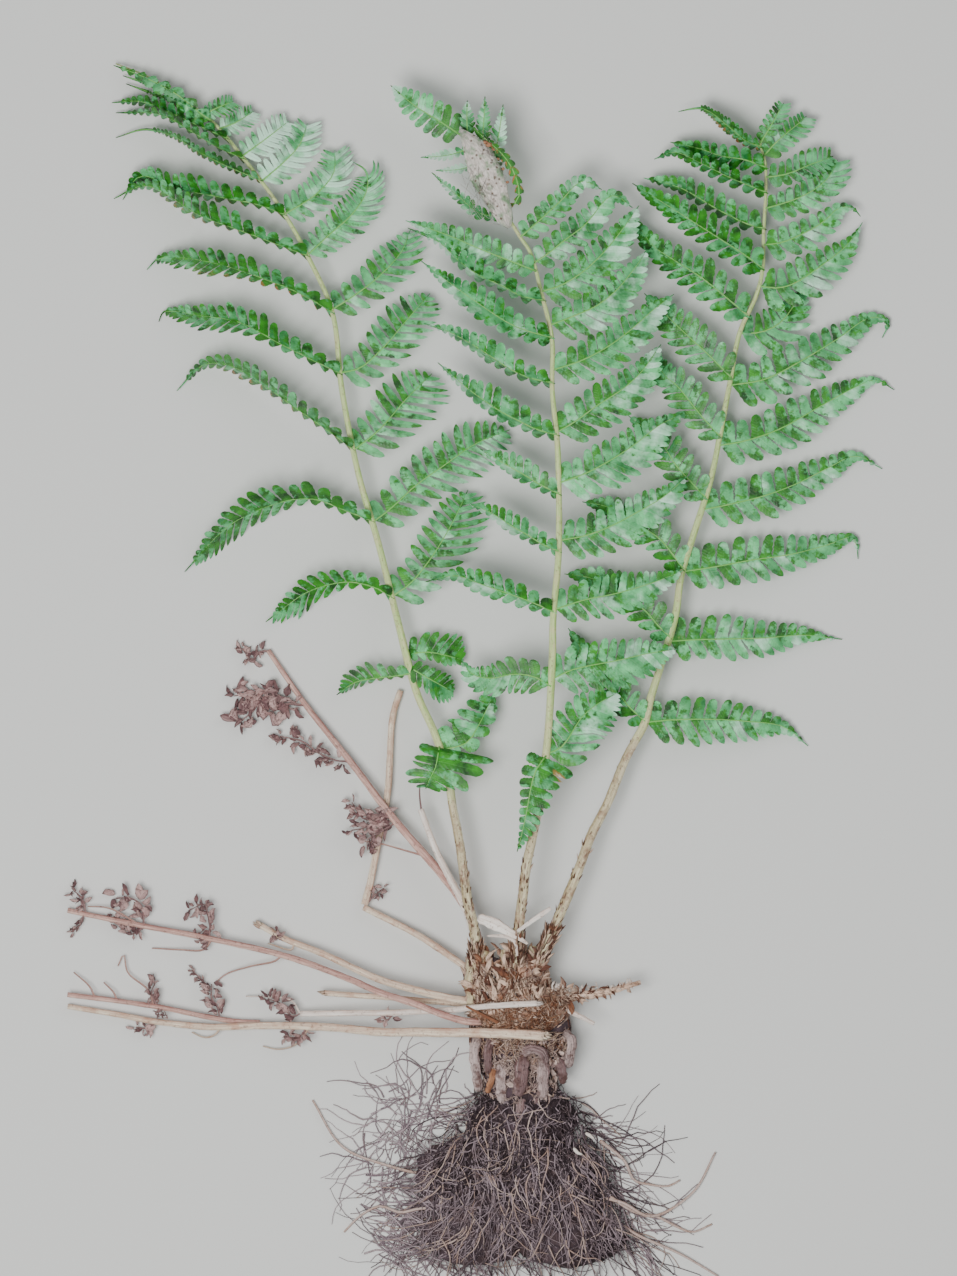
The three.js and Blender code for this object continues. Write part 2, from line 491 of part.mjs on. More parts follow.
// Dead stalks. Each has a route, the radius at its far end and at the crown, and what is left
// of its leaf arms: curled strips (curls) and bare ribs (ribs) that stand out of the stalk.
const DEAD_STALKS = {
  dead_stalk_1: {
    material: DEAD, radii: [1.2, 1.9],
    route: [[-125.8, 194.8, 3], [-108, 168.8, 5], [-84, 138.4, 8], [-62.4, 110, 11.5],
      [-40.7, 85, 13.5], [-29.3, 70, 14.5], [-25, 56, 15], [-22, 40, 15]],
    curls: [
      { route: [[-125.5, 194.4, 3], [-130, 194, 3.5], [-134, 190, 4], [-139, 196, 3]], width: 3 },
      { route: [[-106.5, 167, 5], [-116, 168, 6], [-123, 165, 5], [-131, 173, 5],
        [-143, 172, 3]], width: 5 },
      { route: [[-112, 168.3, 5.5], [-128, 174, 5.5], [-133, 165, 5], [-140, 159, 4]],
        width: 5.5 },
      { route: [[-84.5, 139, 8], [-92, 140, 8], [-100, 143, 6], [-108, 149, 5],
        [-120, 152, 3]], width: 4 },
      { route: [[-62.5, 110, 11.5], [-68, 113, 12], [-76, 107, 11], [-84, 105, 9]], width: 4 },
      { route: [[-63, 110.5, 11.5], [-72, 113, 12.5], [-78, 111, 10], [-84, 119, 6]],
        width: 3.4 },
      { route: [[-62, 109, 11.5], [-70, 104, 12], [-76, 100, 10], [-76, 95, 8]], width: 4 },
    ],
    ribs: [[[-46.5, 92, 13], [-57, 95, 12], [-70, 98.5, 9.5], [-81, 100, 7]]],
  },
  dead_stalk_2: {
    material: STRAW, radii: [1, 1.7],
    route: [[-49.6, 115.6, 15], [-41.8, 95, 18], [-33, 79, 19.5], [-29.5, 66, 20], [-25, 55, 20.5],
      [-20, 38, 20.5]],
    curls: [],
    ribs: [[[-49, 114, 15.2], [-50, 122, 15.5], [-50, 128, 15]]],
  },
  dead_stalk_3: {
    material: STRAW, radii: [1.6, 1.8],
    route: [[-59.7, 174.8, 3], [-63.5, 162, 3.5], [-66.2, 123, 5], [-70, 103.7, 5],
      [-75, 78, 5], [-77.4, 69, 5], [-75.5, 65.3, 5.2], [-68, 61.5, 6], [-51.5, 53, 8],
      [-36, 43, 10], [-22, 33, 11]],
    curls: [{ route: [[-76, 69, 5], [-73, 72, 5.5], [-68, 76, 4]], width: 2.6 }],
    ribs: [],
  },
  dead_stalk_4: {
    material: STRAW, radii: [1.5, 2],
    route: [[-129.5, 57.4, 5], [-117.8, 51, 7], [-97.3, 43, 10], [-70, 30.8, 15], [-34, 21.5, 21],
      [-24, 20, 22]],
    curls: [{ route: [[-116, 50.5, 7], [-120, 50.5, 7.5], [-122, 54, 6]], width: 2.6 }],
    ribs: [[[-113, 49, 7.5], [-114, 45.5, 6.5], [-126, 48.5, 4]]],
  },
  dead_stalk_5: {
    material: DEAD, radii: [1.3, 1.8],
    route: [[-226, 65, 4], [-216.7, 63, 4.5], [-189, 57.4, 6], [-153.5, 50.7, 9],
      [-115.7, 42, 12.5], [-87, 31.8, 17], [-70, 24.7, 21.5], [-49.4, 18, 27.2], [-40, 14.3, 29],
      [-28, 10.6, 27.8], [-19, 10, 24.5]],
    curls: [
      { route: [[-217, 63.3, 4.5], [-218.5, 70, 5], [-224, 76, 3]], width: 3.2 },
      { route: [[-218, 63, 4.5], [-219.5, 58, 4], [-224, 54, 2.5]], width: 2 },
      { route: [[-188, 57.5, 6], [-189, 67, 6], [-194, 71, 5.5], [-202, 71, 3]], width: 4.2 },
      { route: [[-187, 57, 6], [-195, 53, 5], [-201, 58, 4], [-203, 62, 3]], width: 3 },
      { route: [[-155, 51.5, 9], [-155, 58, 9], [-158, 68, 6], [-165, 65, 3.5]], width: 3.6 },
      { route: [[-154, 50.5, 9], [-159, 48.5, 8], [-160, 53.5, 7.5]], width: 3 },
    ],
    ribs: [
      [[-190, 57.8, 6], [-205, 66, 5], [-216, 67, 4]],
      [[-154, 50.6, 9], [-158, 45.5, 7], [-170, 45.3, 4], [-184, 46, 2]],
      [[-119, 43, 12.3], [-122, 40, 10], [-135, 37, 6], [-147, 33, 3], [-152, 29, 2]],
    ],
  },
  dead_stalk_6: {
    material: STRAW, radii: [1.4, 1.4],
    route: [[-97.3, 23.7, 9], [-70, 22, 12], [-34, 19, 16.2], [-24, 18.3, 17]],
    curls: [],
    ribs: [],
  },
  dead_stalk_7: {
    material: BONE, radii: [1.5, 1.5],
    route: [[-109.6, 13.5, 8.5], [-85, 14, 14], [-59.6, 14.5, 19], [-34, 16, 25.5],
      [-23, 17.4, 30.5], [-10, 18.6, 33.4], [8.3, 19.6, 33.8]],
    curls: [
      { route: [[-109, 13.6, 8.8], [-114, 12.5, 9], [-119, 18, 7], [-126, 21, 5]], width: 3.8 },
      { route: [[-63.5, 14, 18.2], [-66, 10.5, 16], [-68, 12, 14.5]], width: 3 },
    ],
    ribs: [[[-110, 13.7, 8.6], [-114, 20, 7], [-125, 21.8, 4.5], [-137, 22, 3]]],
  },
  dead_stalk_8: {
    material: STRAW, radii: [1.3, 2.6],
    route: [[-226, 17, 4], [-204.5, 13.5, 4.5], [-179, 9, 5.5], [-153.5, 6.8, 7.5],
      [-128, 7.6, 9], [-97, 7, 13], [-70, 4.8, 18], [-49, 4.8, 23], [-30, 4.8, 27.5],
      [-10, 4.5, 29], [11.8, 3.3, 29.3]],
    curls: [
      { route: [[-182, 9.5, 5.3], [-186, 6, 4], [-192, 6.5, 3]], width: 2.8 },
      { route: [[-106, 7.2, 12], [-110, 2, 9], [-116, 1.5, 5]], width: 3 },
    ],
    ribs: [
      [[-105, 7, 12], [-112, -2, 6], [-121, -4.5, 3], [-128.5, -3, 2]],
      [[-149, 7, 7.8], [-153, 2.5, 5], [-158, 1.5, 3], [-164, 4, 2]],
    ],
  },
  dead_stalk_9: {
    material: DEAD, radii: [1.3, 1.3],
    route: [[-226, 23, 7], [-199.4, 19.6, 7], [-179, 16.5, 7], [-158.6, 12.3, 6.5],
      [-143, 9.6, 4.7], [-130, 9, 5]],
    curls: [
      { route: [[-181, 17, 7], [-184, 24, 7], [-182, 29, 4]], width: 3 },
      { route: [[-150, 10.6, 5.6], [-151, 17, 7], [-154, 21, 7], [-154, 28, 4]], width: 3.4 },
      { route: [[-154, 25, 5], [-160, 31, 3.5], [-164, 35, 2.5]], width: 1.8 },
      { route: [[-178, 16.2, 7], [-182, 13.4, 8.5], [-176, 12.6, 8.8]], width: 1.6 },
    ],
    ribs: [
      [[-183, 17.3, 7], [-185.5, 25, 6], [-196, 34, 4], [-198, 43, 3], [-201, 37, 2.5]],
      [[-201, 19.8, 7], [-203, 24, 5.5], [-208, 29, 3]],
      [[-212, 21, 7], [-215, 27, 5.5], [-223, 34, 3]],
    ],
  },
};

// A curled strip: a flat, crumpled remnant of a leaf arm, wide and narrow by turns
const curl = (route, width) => stalk(route,
  (share) => 0.5 * width * (0.75 + 0.35 * Math.cos(14 * share)), 4, 4, 0.35);

const rib = (route) => stalk(route, taper(0.7, 0.45), 3, 3);

function deadStalk(spec) {
  return joined([
    stalk(spec.route, taper(...spec.radii), 4, spec.route.length + 1),
    ...spec.curls.map((remnant) => curl(remnant.route, remnant.width)),
    ...spec.ribs.map(rib),
  ]);
}

// Torn scaly stalk and short stub, on the right of the crown
const TORN_STALK = [[17, 21.8, 24], [27, 22.8, 23], [42.5, 24.7, 21], [60, 29.5, 19]];
const tornStalk = () => {
  const scales = [[[24, 23.5, 23.5], [30, 31, 24]], [[31, 23.5, 22.5], [37, 30.5, 23]],
    [[38, 24.5, 21.6], [42, 33, 22]], [[45, 25.5, 20.7], [50.5, 31.5, 21]]];
  return joined([
    stalk(TORN_STALK, taper(3, 1.1), 6, 4, 0.8),
    ...scales.map(([foot, tip]) => stalk([foot, tip], taper(1.2, 0.4), 3, 1)),
  ]);
};
const STUB = [[20, 17.5, 22], [28, 13.5, 22.5], [36.8, 9, 21]];
const stalkStub = () => stalk(STUB, taper(1.5, 1.1), 6, 3);

// White torn strips of stalk skin, lying across the stalks
const tornStrips = () => joined([
  stalk([[-19.6, 61.5, 31.5], [-14, 59.5, 34], [-4, 54.2, 35.6], [3.7, 49.2, 35.4]],
    (share) => lerp(1.6, 2.6, Math.sin(Math.PI * share) ** 0.7), 6, 4, 0.35),
  stalk([[-3.5, 54, 35.7], [5, 60, 37.6], [15.4, 67, 37.5]], taper(1.3, 0.8), 4, 3, 0.6),
  stalk([[-16.7, 53, 33.5], [-8, 52.8, 35], [-3, 50.5, 35.4], [-1.4, 43, 34.4]],
    taper(0.9, 0.9), 4, 4, 0.6),
]);

// Rhizome: an uneven thick stem, the stumps of old stalks on its lower end, and one bud
const STUMPS = [
  { route: [[-20, 0, 14], [-23, -4, 23.5], [-23, -14, 22], [-22.5, -26, 17]], radius: 2.6 },
  { route: [[-13, 0, 18], [-16, -4, 26.5], [-16.5, -10, 25], [-16.5, -17, 21]], radius: 2.4 },
  { route: [[0, 0, 18], [0.5, -8, 28], [0.5, -17, 27], [-0.5, -27, 21]], radius: 3.6 },
  { route: [[11, -2, 17], [11.5, -10, 26], [11.5, -18, 25], [11.5, -28, 19]], radius: 3.2 },
  { route: [[-2, -9, 22], [4, -3.5, 29.5], [9, -4, 30], [13, -9, 23]], radius: 2.6 },
  { route: [[20, 0, 14], [24.5, -2, 24], [24, -7, 23], [23.5, -13, 18]], radius: 2.4 },
  { route: [[-9, -6, 19], [-10, -16, 23], [-9.5, -24, 20], [-8.5, -31, 15]], radius: 3.2 },
  { route: [[2, -20, 14], [0.5, -30, 17.5], [0, -37, 16], [0.5, -43, 13]], radius: 2.8 },
  { route: [[-13, -10, 18], [-15, -19, 25], [-17, -28, 21]], radius: 2.4 },
  { route: [[18, -5, 15], [21, -14, 20], [21.5, -21, 16]], radius: 2.2 },
];

const rhizomeBody = (extra = 0) => joined([
  lump([0, 4, 12.5], [26 + extra, 31 + extra, 14 + extra], 2, 0.08),
  lump([0, -22, 10.5], [20 + extra, 13 + extra, 12 + extra], 1, 0.05),
]);

const stumps = (extra = 0) => joined(STUMPS.map((stump) => stalk(stump.route,
  (share) => (stump.radius + extra) * (share > 0.9 ? 0.72 : 1), 5, 3)));

// Everything below the surface is cut off, which leaves the flat that the part rests on
function cutFlat(solid) {
  const below = new THREE.BoxGeometry(700, 900, 40);
  below.translate(0, 150, -20);
  return solid.subtract(solidFrom(below));
}

// Crown scales: a rusty pad over the rhizome's upper end, with papery scales standing out of it.
// Each scale is the place of its foot and of its tip.
const SCALES = [
  [[-26, 26], [-30.5, 33]], [[-26.5, 33], [-31, 41]], [[-25.5, 39], [-29, 48]],
  [[-16, 30], [-12.5, 39]], [[-15, 36], [-12, 45]], [[-17, 41], [-16, 50]],
  [[-10, 32], [-11, 40]], [[-9, 38], [-10, 47]], [[4, 42], [5.5, 50]], [[13, 34], [16.5, 42]],
  [[21, 14], [28, 17]], [[20, 10], [26.5, 8]], [[-21, 14], [-26, 19]],
];

function crownScales() {
  const pads = [
    lump([-1, 18, 20], [26, 16, 11.5], 1, 0.08),
    lump([-20.5, 32, 20], [8, 15, 10], 1, 0.05),
    lump([1, 34, 20], [15, 13, 12], 1, 0.05),
  ];
  const scales = SCALES.map(([foot, tip], i) =>
    stalk([[...foot, 23.5], [...tip, 27 + (i % 3)]], taper(2.2, 0.5), 3, 1, 0.6));
  return joined([...pads, ...scales]);
}

// Roots: a low matted core and wiry roots that run out of it on all sides
const ROOT_CORE = [
  { centre: [2, -42, 8], radii: [31, 24, 12] },
  { centre: [8, -72, 8], radii: [38, 28, 11] },
  { centre: [-30, -68, 6], radii: [26, 22, 9] },
  { centre: [-22, -98, 6], radii: [30, 16, 8] },
  { centre: [24, -98, 7], radii: [32, 18, 9] },
];

function roots() {
  const random = randomFrom(23);
  const strands = [];
  const strand = (startX, startY, heading, length, radius) => {
    const route = [[startX, startY, random(8, 13)]];
    let turn = heading;
    for (let step = 1; step <= 4; step += 1) {
      turn += random(-0.45, 0.45);
      const [x, y] = route[step - 1];
      const height = lerp(11, 1.6, step / 4) + random(-0.4, 1.6);
      route.push([x + (length / 4) * Math.cos(turn), y + (length / 4) * Math.sin(turn), height]);
    }
    strands.push(stalk(route, taper(radius, 0.55), 3, 4));
  };
  for (let i = 0; i < 24; i += 1) {
    const share = i / 23;
    const heading = lerp(Math.PI * 0.9, Math.PI * 2.1, share);
    const startX = 4 + 24 * Math.cos(heading);
    const startY = -66 + 26 * Math.sin(heading) - 8;
    const length = random(22, 34) + 22 * Math.abs(Math.cos(heading));
    strand(startX, startY, heading, length, random(0.9, 1.3));
  }
  const long = [
    [[-23, -63, 9], [-42.6, -67, 7], [-68, -62, 4], [-89, -53, 2.5], [-103.7, -30, 1.6]],
    [[40, -78, 9], [51.4, -81, 7], [65.4, -88, 4], [86.4, -76, 2.5], [97.7, -56, 1.6]],
    [[45, -88, 8], [58.4, -97, 5], [79.4, -106.5, 2.5], [99, -118, 1.6]],
  ];
  long.forEach((route) => strands.push(stalk(route, taper(1, 0.55), 3, 5)));
  const core = ROOT_CORE.map(({ centre, radii }) => lump(centre, radii, 1, 0.2));
  return joined([...core, ...strands]);
}

// Silk nest: a flat papery sac on the folded tip of the middle frond
function silkNest() {
  const route = [[-5.5, 404, 41.9], [-9, 413, 43.5], [-17, 429, 43.5], [-24, 443, 41.9],
    [-29.5, 453, 38.9]];
  const width = (share) => 1 + 6 * Math.sin(Math.PI * clamp(0.04 + 0.92 * share, 0, 1)) ** 0.8;
  return stalk(route, width, 7, 7, 0.5);
}

// Assembly. A piece that stands in another one gets a plain hole with a small gap round it.
const group = new THREE.Group();
function add(name, solid, material) {
  const mesh = new THREE.Mesh(geometryFrom(solid), material);
  mesh.name = name;
  group.add(mesh);
}

const stalkHoles = joined([
  ...Object.values(STIPES).map((route) => stipe(route, SEAT_GAP)),
  ...Object.values(DEAD_STALKS).map((spec) =>
    stalk(spec.route, taper(spec.radii[0] + SEAT_GAP, spec.radii[1] + SEAT_GAP), 4,
      spec.route.length + 1)),
  stalk(TORN_STALK, taper(3 + SEAT_GAP, 1.1 + SEAT_GAP), 6, 4, 0.85),
  stalk(STUB, taper(1.5 + SEAT_GAP, 1.1 + SEAT_GAP), 6, 3),
]);

const rhizomeRoom = rhizomeBody(SEAT_GAP);
add("rhizome", cutFlat(joined([rhizomeBody(), stumps()]).subtract(stalkHoles)), RHIZOME);
add("crown_scales", crownScales().subtract(rhizomeRoom).subtract(stalkHoles), RUST);
add("roots", cutFlat(roots().subtract(rhizomeRoom).subtract(stumps(SEAT_GAP))), ROOT);
Object.entries(STIPES).forEach(([name, route]) => add(name, stipe(route), STIPE));
add("left_frond", frond(LEFT_FROND), LEAF);
add("middle_frond", frond(MIDDLE_FROND), LEAF);
add("right_frond", frond(RIGHT_FROND), LEAF);
Object.entries(DEAD_STALKS)
  .forEach(([name, spec]) => add(name, deadStalk(spec), spec.material));
add("torn_stalk", tornStalk(), STRAW);
add("stalk_stub", stalkStub(), BONE);
add("torn_strips", tornStrips(), BONE);
add("silk_nest", silkNest(), SILK);

export default group;
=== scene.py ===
# %% [markdown]
# # An uprooted marginal wood fern
#
# The plant lies on a flat surface and is seen from straight above: three green fronds, each with
# a midrib and two rows of leaf arms that are cut into leaflets, a scaly crown with dead stalks on
# its left, and a mat of dark roots below. The solid model gives the size and place of each piece.
# This lesson makes a finer surface for every piece, in the same place, and gives it its finish.

import bpy
import numpy as np
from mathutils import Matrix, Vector


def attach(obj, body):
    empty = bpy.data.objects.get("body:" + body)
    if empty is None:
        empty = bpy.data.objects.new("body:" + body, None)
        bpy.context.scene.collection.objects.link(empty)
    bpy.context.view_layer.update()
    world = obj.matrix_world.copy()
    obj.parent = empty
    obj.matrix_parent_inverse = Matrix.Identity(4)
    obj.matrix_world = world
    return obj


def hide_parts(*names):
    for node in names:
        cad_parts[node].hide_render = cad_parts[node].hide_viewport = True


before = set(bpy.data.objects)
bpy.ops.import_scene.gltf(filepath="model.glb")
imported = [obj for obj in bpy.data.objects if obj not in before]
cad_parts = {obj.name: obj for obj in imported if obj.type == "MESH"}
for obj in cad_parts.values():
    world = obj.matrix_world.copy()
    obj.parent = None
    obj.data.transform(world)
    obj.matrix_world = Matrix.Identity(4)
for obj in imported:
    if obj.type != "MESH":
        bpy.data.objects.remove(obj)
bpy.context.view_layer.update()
MM = 0.001
print("pieces of the solid model:", len(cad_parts))

# %% [markdown]
# ## View
#
# The photograph looks straight down and covers 478.5 by 638 millimetres of the surface. A camera
# without perspective could show that too. A long lens from five metres up is used, because it
# hardly shifts the raised leaves and is a camera as one would set it up.

# %% Set the camera
FRAME_HEIGHT = 0.638
VIEW_CENTRE = (-0.02075, 0.201)
CAMERA_HEIGHT = 5.0
SENSOR_HEIGHT = 24.0
FARTHEST_SEEN = 50.0

camera_data = bpy.data.cameras.new("camera")
camera_data.sensor_fit = "VERTICAL"
camera_data.sensor_height = SENSOR_HEIGHT
camera_data.lens = SENSOR_HEIGHT * CAMERA_HEIGHT / FRAME_HEIGHT
camera_data.clip_end = FARTHEST_SEEN
camera = bpy.data.objects.new("camera", camera_data)
camera.location = (VIEW_CENTRE[0], VIEW_CENTRE[1], CAMERA_HEIGHT)
bpy.context.scene.collection.objects.link(camera)
bpy.context.scene.camera = camera
print("lens in millimetres:", round(camera_data.lens, 1))

# %% [markdown]
# ## Smooth paths
#
# Stalks, ribs and roots follow smooth curves through a few measured points. A curve that passes
# through its points (a Catmull-Rom curve) is easier to measure from a photograph than one that
# is pulled towards handles. All points here are in millimetres.

# %% Draw a smooth path through points
UP = np.array([0.0, 0.0, 1.0])
STEPS_BETWEEN = 16


def unit(vectors):
    """Each vector divided by its own length."""
    return vectors / np.maximum(np.linalg.norm(vectors, axis=-1, keepdims=True), 1e-9)


def knot_step(start, end):
    """Square root of the distance between two points: the knot spacing of a centripetal curve."""
    return np.maximum(np.linalg.norm(end - start, axis=1, keepdims=True), 1e-6) ** 0.5


def smooth_path(points, count):
    """Places on a curve through the points, evenly spaced along its length.

    Between two points the curve is a cubic, whose slopes at both ends come from the points
    before and after, weighted by the knot spacing.
    """
    given = np.asarray(points, float)
    given = np.vstack([2 * given[0] - given[1], given, 2 * given[-1] - given[-2]])
    before, start, end, after = given[:-3], given[1:-2], given[2:-1], given[3:]
    step_in, step, step_out = knot_step(before, start), knot_step(start, end), knot_step(end, after)
    slope_start = step * ((start - before) / step_in - (end - before) / (step_in + step)
                          + (end - start) / step)
    slope_end = step * ((end - start) / step - (after - start) / (step + step_out)
                        + (after - end) / step_out)
    u = np.linspace(0, 1, STEPS_BETWEEN + 1)[None, :-1, None]
    cubic = ((2 * u**3 - 3 * u**2 + 1) * start[:, None]
             + (u**3 - 2 * u**2 + u) * slope_start[:, None]
             + (3 * u**2 - 2 * u**3) * end[:, None] + (u**3 - u**2) * slope_end[:, None])
    dense = np.vstack([cubic.reshape(-1, given.shape[1]), given[-2:-1]])
    travelled = np.concatenate([[0], np.cumsum(np.linalg.norm(np.diff(dense, axis=0), axis=1))])
    wanted = np.linspace(0, travelled[-1], count)
    return np.stack([np.interp(wanted, travelled, column) for column in dense.T], axis=1)


def path_length(path):
    """Sum of the distances between neighbouring places."""
    return float(np.linalg.norm(np.diff(path, axis=0), axis=1).sum())


def directions(path):
    """Along, to the left, and up from a path: along is the difference of the neighbouring
    places, left is up crossed with along, and rise is along crossed with left."""
    along = unit(np.gradient(path, axis=0))
    left = unit(np.cross(UP, along))
    return along, left, np.cross(along, left)


test_path = smooth_path([[0, 0, 0], [50, 10, 0], [90, 0, 5]], 40)
print("test path length in mm:", round(path_length(test_path), 1))

# %% [markdown]
# ## Surfaces on a grid
#
# Stalks, leaflets, scales and roots are all bent sheets or tubes. Each could be modelled by hand,
# but the plant has thousands of them. Here each is a grid of points worked out as whole arrays,
# because one formula then makes all repeats at once. A shape keeps its points, its faces and a
# few numbers for each point, such as how far along the leaflet it is, which the finishes read.

# %% Lay faces on a grid of points
def grid_faces(rows, columns, closed):
    """Four-sided faces between neighbouring rows and columns. A closed grid joins its last
    column to its first one."""
    row = np.arange(rows - 1)[:, None]
    column = np.arange(columns if closed else columns - 1)[None, :]
    following = (column + 1) % columns
    corners = [row * columns + column, row * columns + following,
               (row + 1) * columns + following, (row + 1) * columns + column]
    return np.stack([corner.reshape(-1) for corner in corners], axis=1)


def shape(points, faces, **values):
    """Points (n by 3), a list of face arrays, and one number a point for each named value."""
    count = len(points)
    spread = {name: np.broadcast_to(value, count).astype(float) for name, value in values.items()}
    return {"points": np.asarray(points, float), "faces": faces, "values": spread}


def repeated(points, faces, **values):
    """A shape for each item of a stack of grids (items by points by 3) with the same faces."""
    items, count = points.shape[:2]
    shift = (np.arange(items) * count)[:, None, None]
    stacked = [(face[None] + shift).reshape(-1, face.shape[1]) for face in faces]
    flat = {name: np.broadcast_to(value, (items, count)).reshape(-1) for name, value in values.items()}
    return shape(points.reshape(-1, 3), stacked, **flat)


print("faces of a 3 by 4 grid:", len(grid_faces(3, 4, False)))

# %% [markdown]
# ## Many shapes in one mesh
#
# A frond has several hundred leaflets. Each could be an object of its own, but one mesh is quicker
# to draw and to export, so the shapes of a piece are joined end to end. The rims of the thin
# leaflets are marked as sharp, so that the shading doesn't run round their edge.

# %% Make a mesh object of shapes
VALUE_NAMES = ("along", "across", "tone", "sori")


def crisp_rims(mesh, across, along):
    """Mark as sharp the edges whose two ends lie on the rim of a leaflet: both at across -1 or 1,
    or both at the tip, where along is 1."""
    ends = np.empty(len(mesh.edges) * 2, np.int32)
    mesh.edges.foreach_get("vertices", ends)
    on_side = (np.abs(across[ends]) > 0.99).reshape(-1, 2).all(axis=1)
    at_tip = (np.abs(along[ends] - 1) < 0.01).reshape(-1, 2).all(axis=1)
    mark = mesh.attributes.new("sharp_edge", "BOOLEAN", "EDGE")
    mark.data.foreach_set("value", on_side | at_tip)


def make_piece(name, shapes, materials, replaces=None, crisp=False):
    """One mesh object from a list of (shape, material number): points are joined end to end,
    and each face's corner numbers are shifted by the points before its shape."""
    points = np.concatenate([part["points"] for part, _ in shapes]) * MM
    starts = np.cumsum([0] + [len(part["points"]) for part, _ in shapes])
    corners, sizes, numbers = [], [], []
    for (part, number), start in zip(shapes, starts):
        for face in part["faces"]:
            corners.append((face + start).reshape(-1))
            sizes.append(np.full(len(face), face.shape[1]))
            numbers.append(np.full(len(face), number))
    corners, sizes, numbers = (np.concatenate(item).astype(np.int32) for item in (corners, sizes, numbers))
    first_corners = np.concatenate([[0], np.cumsum(sizes)[:-1]]).astype(np.int32)
    mesh = bpy.data.meshes.new(name)
    mesh.vertices.add(len(points))
    mesh.vertices.foreach_set("co", points.reshape(-1))
    mesh.loops.add(len(corners))
    mesh.loops.foreach_set("vertex_index", corners)
    mesh.polygons.add(len(sizes))
    mesh.polygons.foreach_set("loop_start", first_corners)
    mesh.polygons.foreach_set("material_index", numbers)
    mesh.polygons.foreach_set("use_smooth", np.ones(len(sizes), bool))
    mesh.update(calc_edges=True)
    kept = {}
    for value in VALUE_NAMES:
        layer = mesh.attributes.new(value, "FLOAT", "POINT")
        column = [part["values"].get(value, np.zeros(len(part["points"]))) for part, _ in shapes]
        kept[value] = np.concatenate(column).astype(np.float32)
        layer.data.foreach_set("value", kept[value])
    mesh.validate()
    if crisp:
        crisp_rims(mesh, kept["across"], kept["along"])
    piece = bpy.data.objects.new(name, mesh)
    for material in materials:
        mesh.materials.append(material)
    bpy.context.scene.collection.objects.link(piece)
    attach(piece, "root")
    for node in replaces or []:
        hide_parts(node)
    print(f"{name}: {len(points)} points, {int((sizes - 2).sum())} triangles")


print("numbers kept for each point:", VALUE_NAMES)

# %% [markdown]
# ## Tubes
#
# Stalks, ribs and roots are long and round. A curve with a round bevel is the quick way to make
# them, but it is equally thick all round. Here a ring of points is carried along the path, because
# its radius can then be uneven on every side, as on a real stalk.

# %% Carry a ring along a path
def tube(path, radius, sides, flatness=1.0, tone=0.0):
    """A closed tube. At each place of the path stands a ring: path + radius * (cos a * left
    + flatness * sin a * rise), with the angle a going once round. Both ends are capped."""
    along, left, rise = directions(path)
    rows = len(path)
    share = np.linspace(0, 1, rows)
    angle = 2 * np.pi * np.arange(sides) / sides
    radius = np.broadcast_to(radius, rows) if np.ndim(radius) < 2 else radius
    radius = radius[:, None] if radius.ndim == 1 else radius
    points = (path[:, None] + (radius * np.cos(angle))[..., None] * left[:, None]
              + (radius * flatness * np.sin(angle))[..., None] * rise[:, None])
    caps = np.stack([np.arange(sides)[::-1], (rows - 1) * sides + np.arange(sides)])
    return shape(points.reshape(-1, 3), [grid_faces(rows, sides, True), caps], tone=tone,
                 along=np.repeat(share * path_length(path), sides),
                 across=np.tile(np.cos(angle), rows))


test_tube = tube(smooth_path([[0, 0, 0], [9, 0, 0]], 5), 1, 8)
print("faces of a tube:", sum(len(face) for face in test_tube["faces"]))

# %% [markdown]
# ## Finishes out of nodes
#
# A finish is the colour, the roughness and the fine bumps of a surface. It could be painted on a
# picture, but a small tree of nodes stays sharp at any size. These helpers make one node each, so
# a finish reads as a short list. The pattern follows the piece's own coordinates or the values
# kept for its points.

# %% Start a finish and add nodes to it
def rgb(text):
    """Colour of a six-digit web code, changed to the linear values that a shader works with."""
    parts = np.array([int(text[i:i + 2], 16) for i in (0, 2, 4)]) / 255
    linear = np.where(parts < 0.04045, parts / 12.92, ((parts + 0.055) / 1.055) ** 2.4)
    return (*linear.tolist(), 1.0)


def start_finish(name, **constants):
    """A new material with its shader, and the constant settings of that shader."""
    material = bpy.data.materials.new(name)
    material.use_nodes = True
    shader = material.node_tree.nodes["Principled BSDF"]
    for socket, value in constants.items():
        shader.inputs[socket.replace("_", " ")].default_value = value
    return material, material.node_tree, shader


def node(tree, kind, values, **settings):
    """A node of the given kind. Each value is a number, or the output of another node."""
    made = tree.nodes.new(kind)
    for setting, value in settings.items():
        setattr(made, setting, value)
    for socket, value in values.items():
        if isinstance(value, bpy.types.NodeSocket):
            tree.links.new(value, made.inputs[socket])
        else:
            made.inputs[socket].default_value = value
    return made


print("linear mid grey:", round(rgb("808080")[0], 3))


# %% Read and mix values in a finish
def value_of(tree, name):
    """A number kept for each point of the mesh."""
    return node(tree, "ShaderNodeAttribute", {}, attribute_name=name).outputs["Fac"]


def own_place(tree):
    """Coordinates of the piece itself, in metres."""
    return node(tree, "ShaderNodeTexCoord", {}).outputs["Object"]


def reckon(tree, operation, first, second):
    """First and second put together by the named sum."""
    return node(tree, "ShaderNodeMath", {0: first, 1: second}, operation=operation).outputs[0]


def times(tree, first, second):
    """First times second."""
    return reckon(tree, "MULTIPLY", first, second)


def plus(tree, first, second):
    """First plus second."""
    return reckon(tree, "ADD", first, second)


def along_across(tree, along_scale, across_scale):
    """A place that runs along and across a stalk: a long grain when along_scale is the smaller."""
    along = times(tree, value_of(tree, "along"), along_scale)
    across = times(tree, value_of(tree, "across"), across_scale)
    tone = times(tree, value_of(tree, "tone"), 31.0)
    return node(tree, "ShaderNodeCombineXYZ", {"X": along, "Y": across, "Z": tone}).outputs[0]


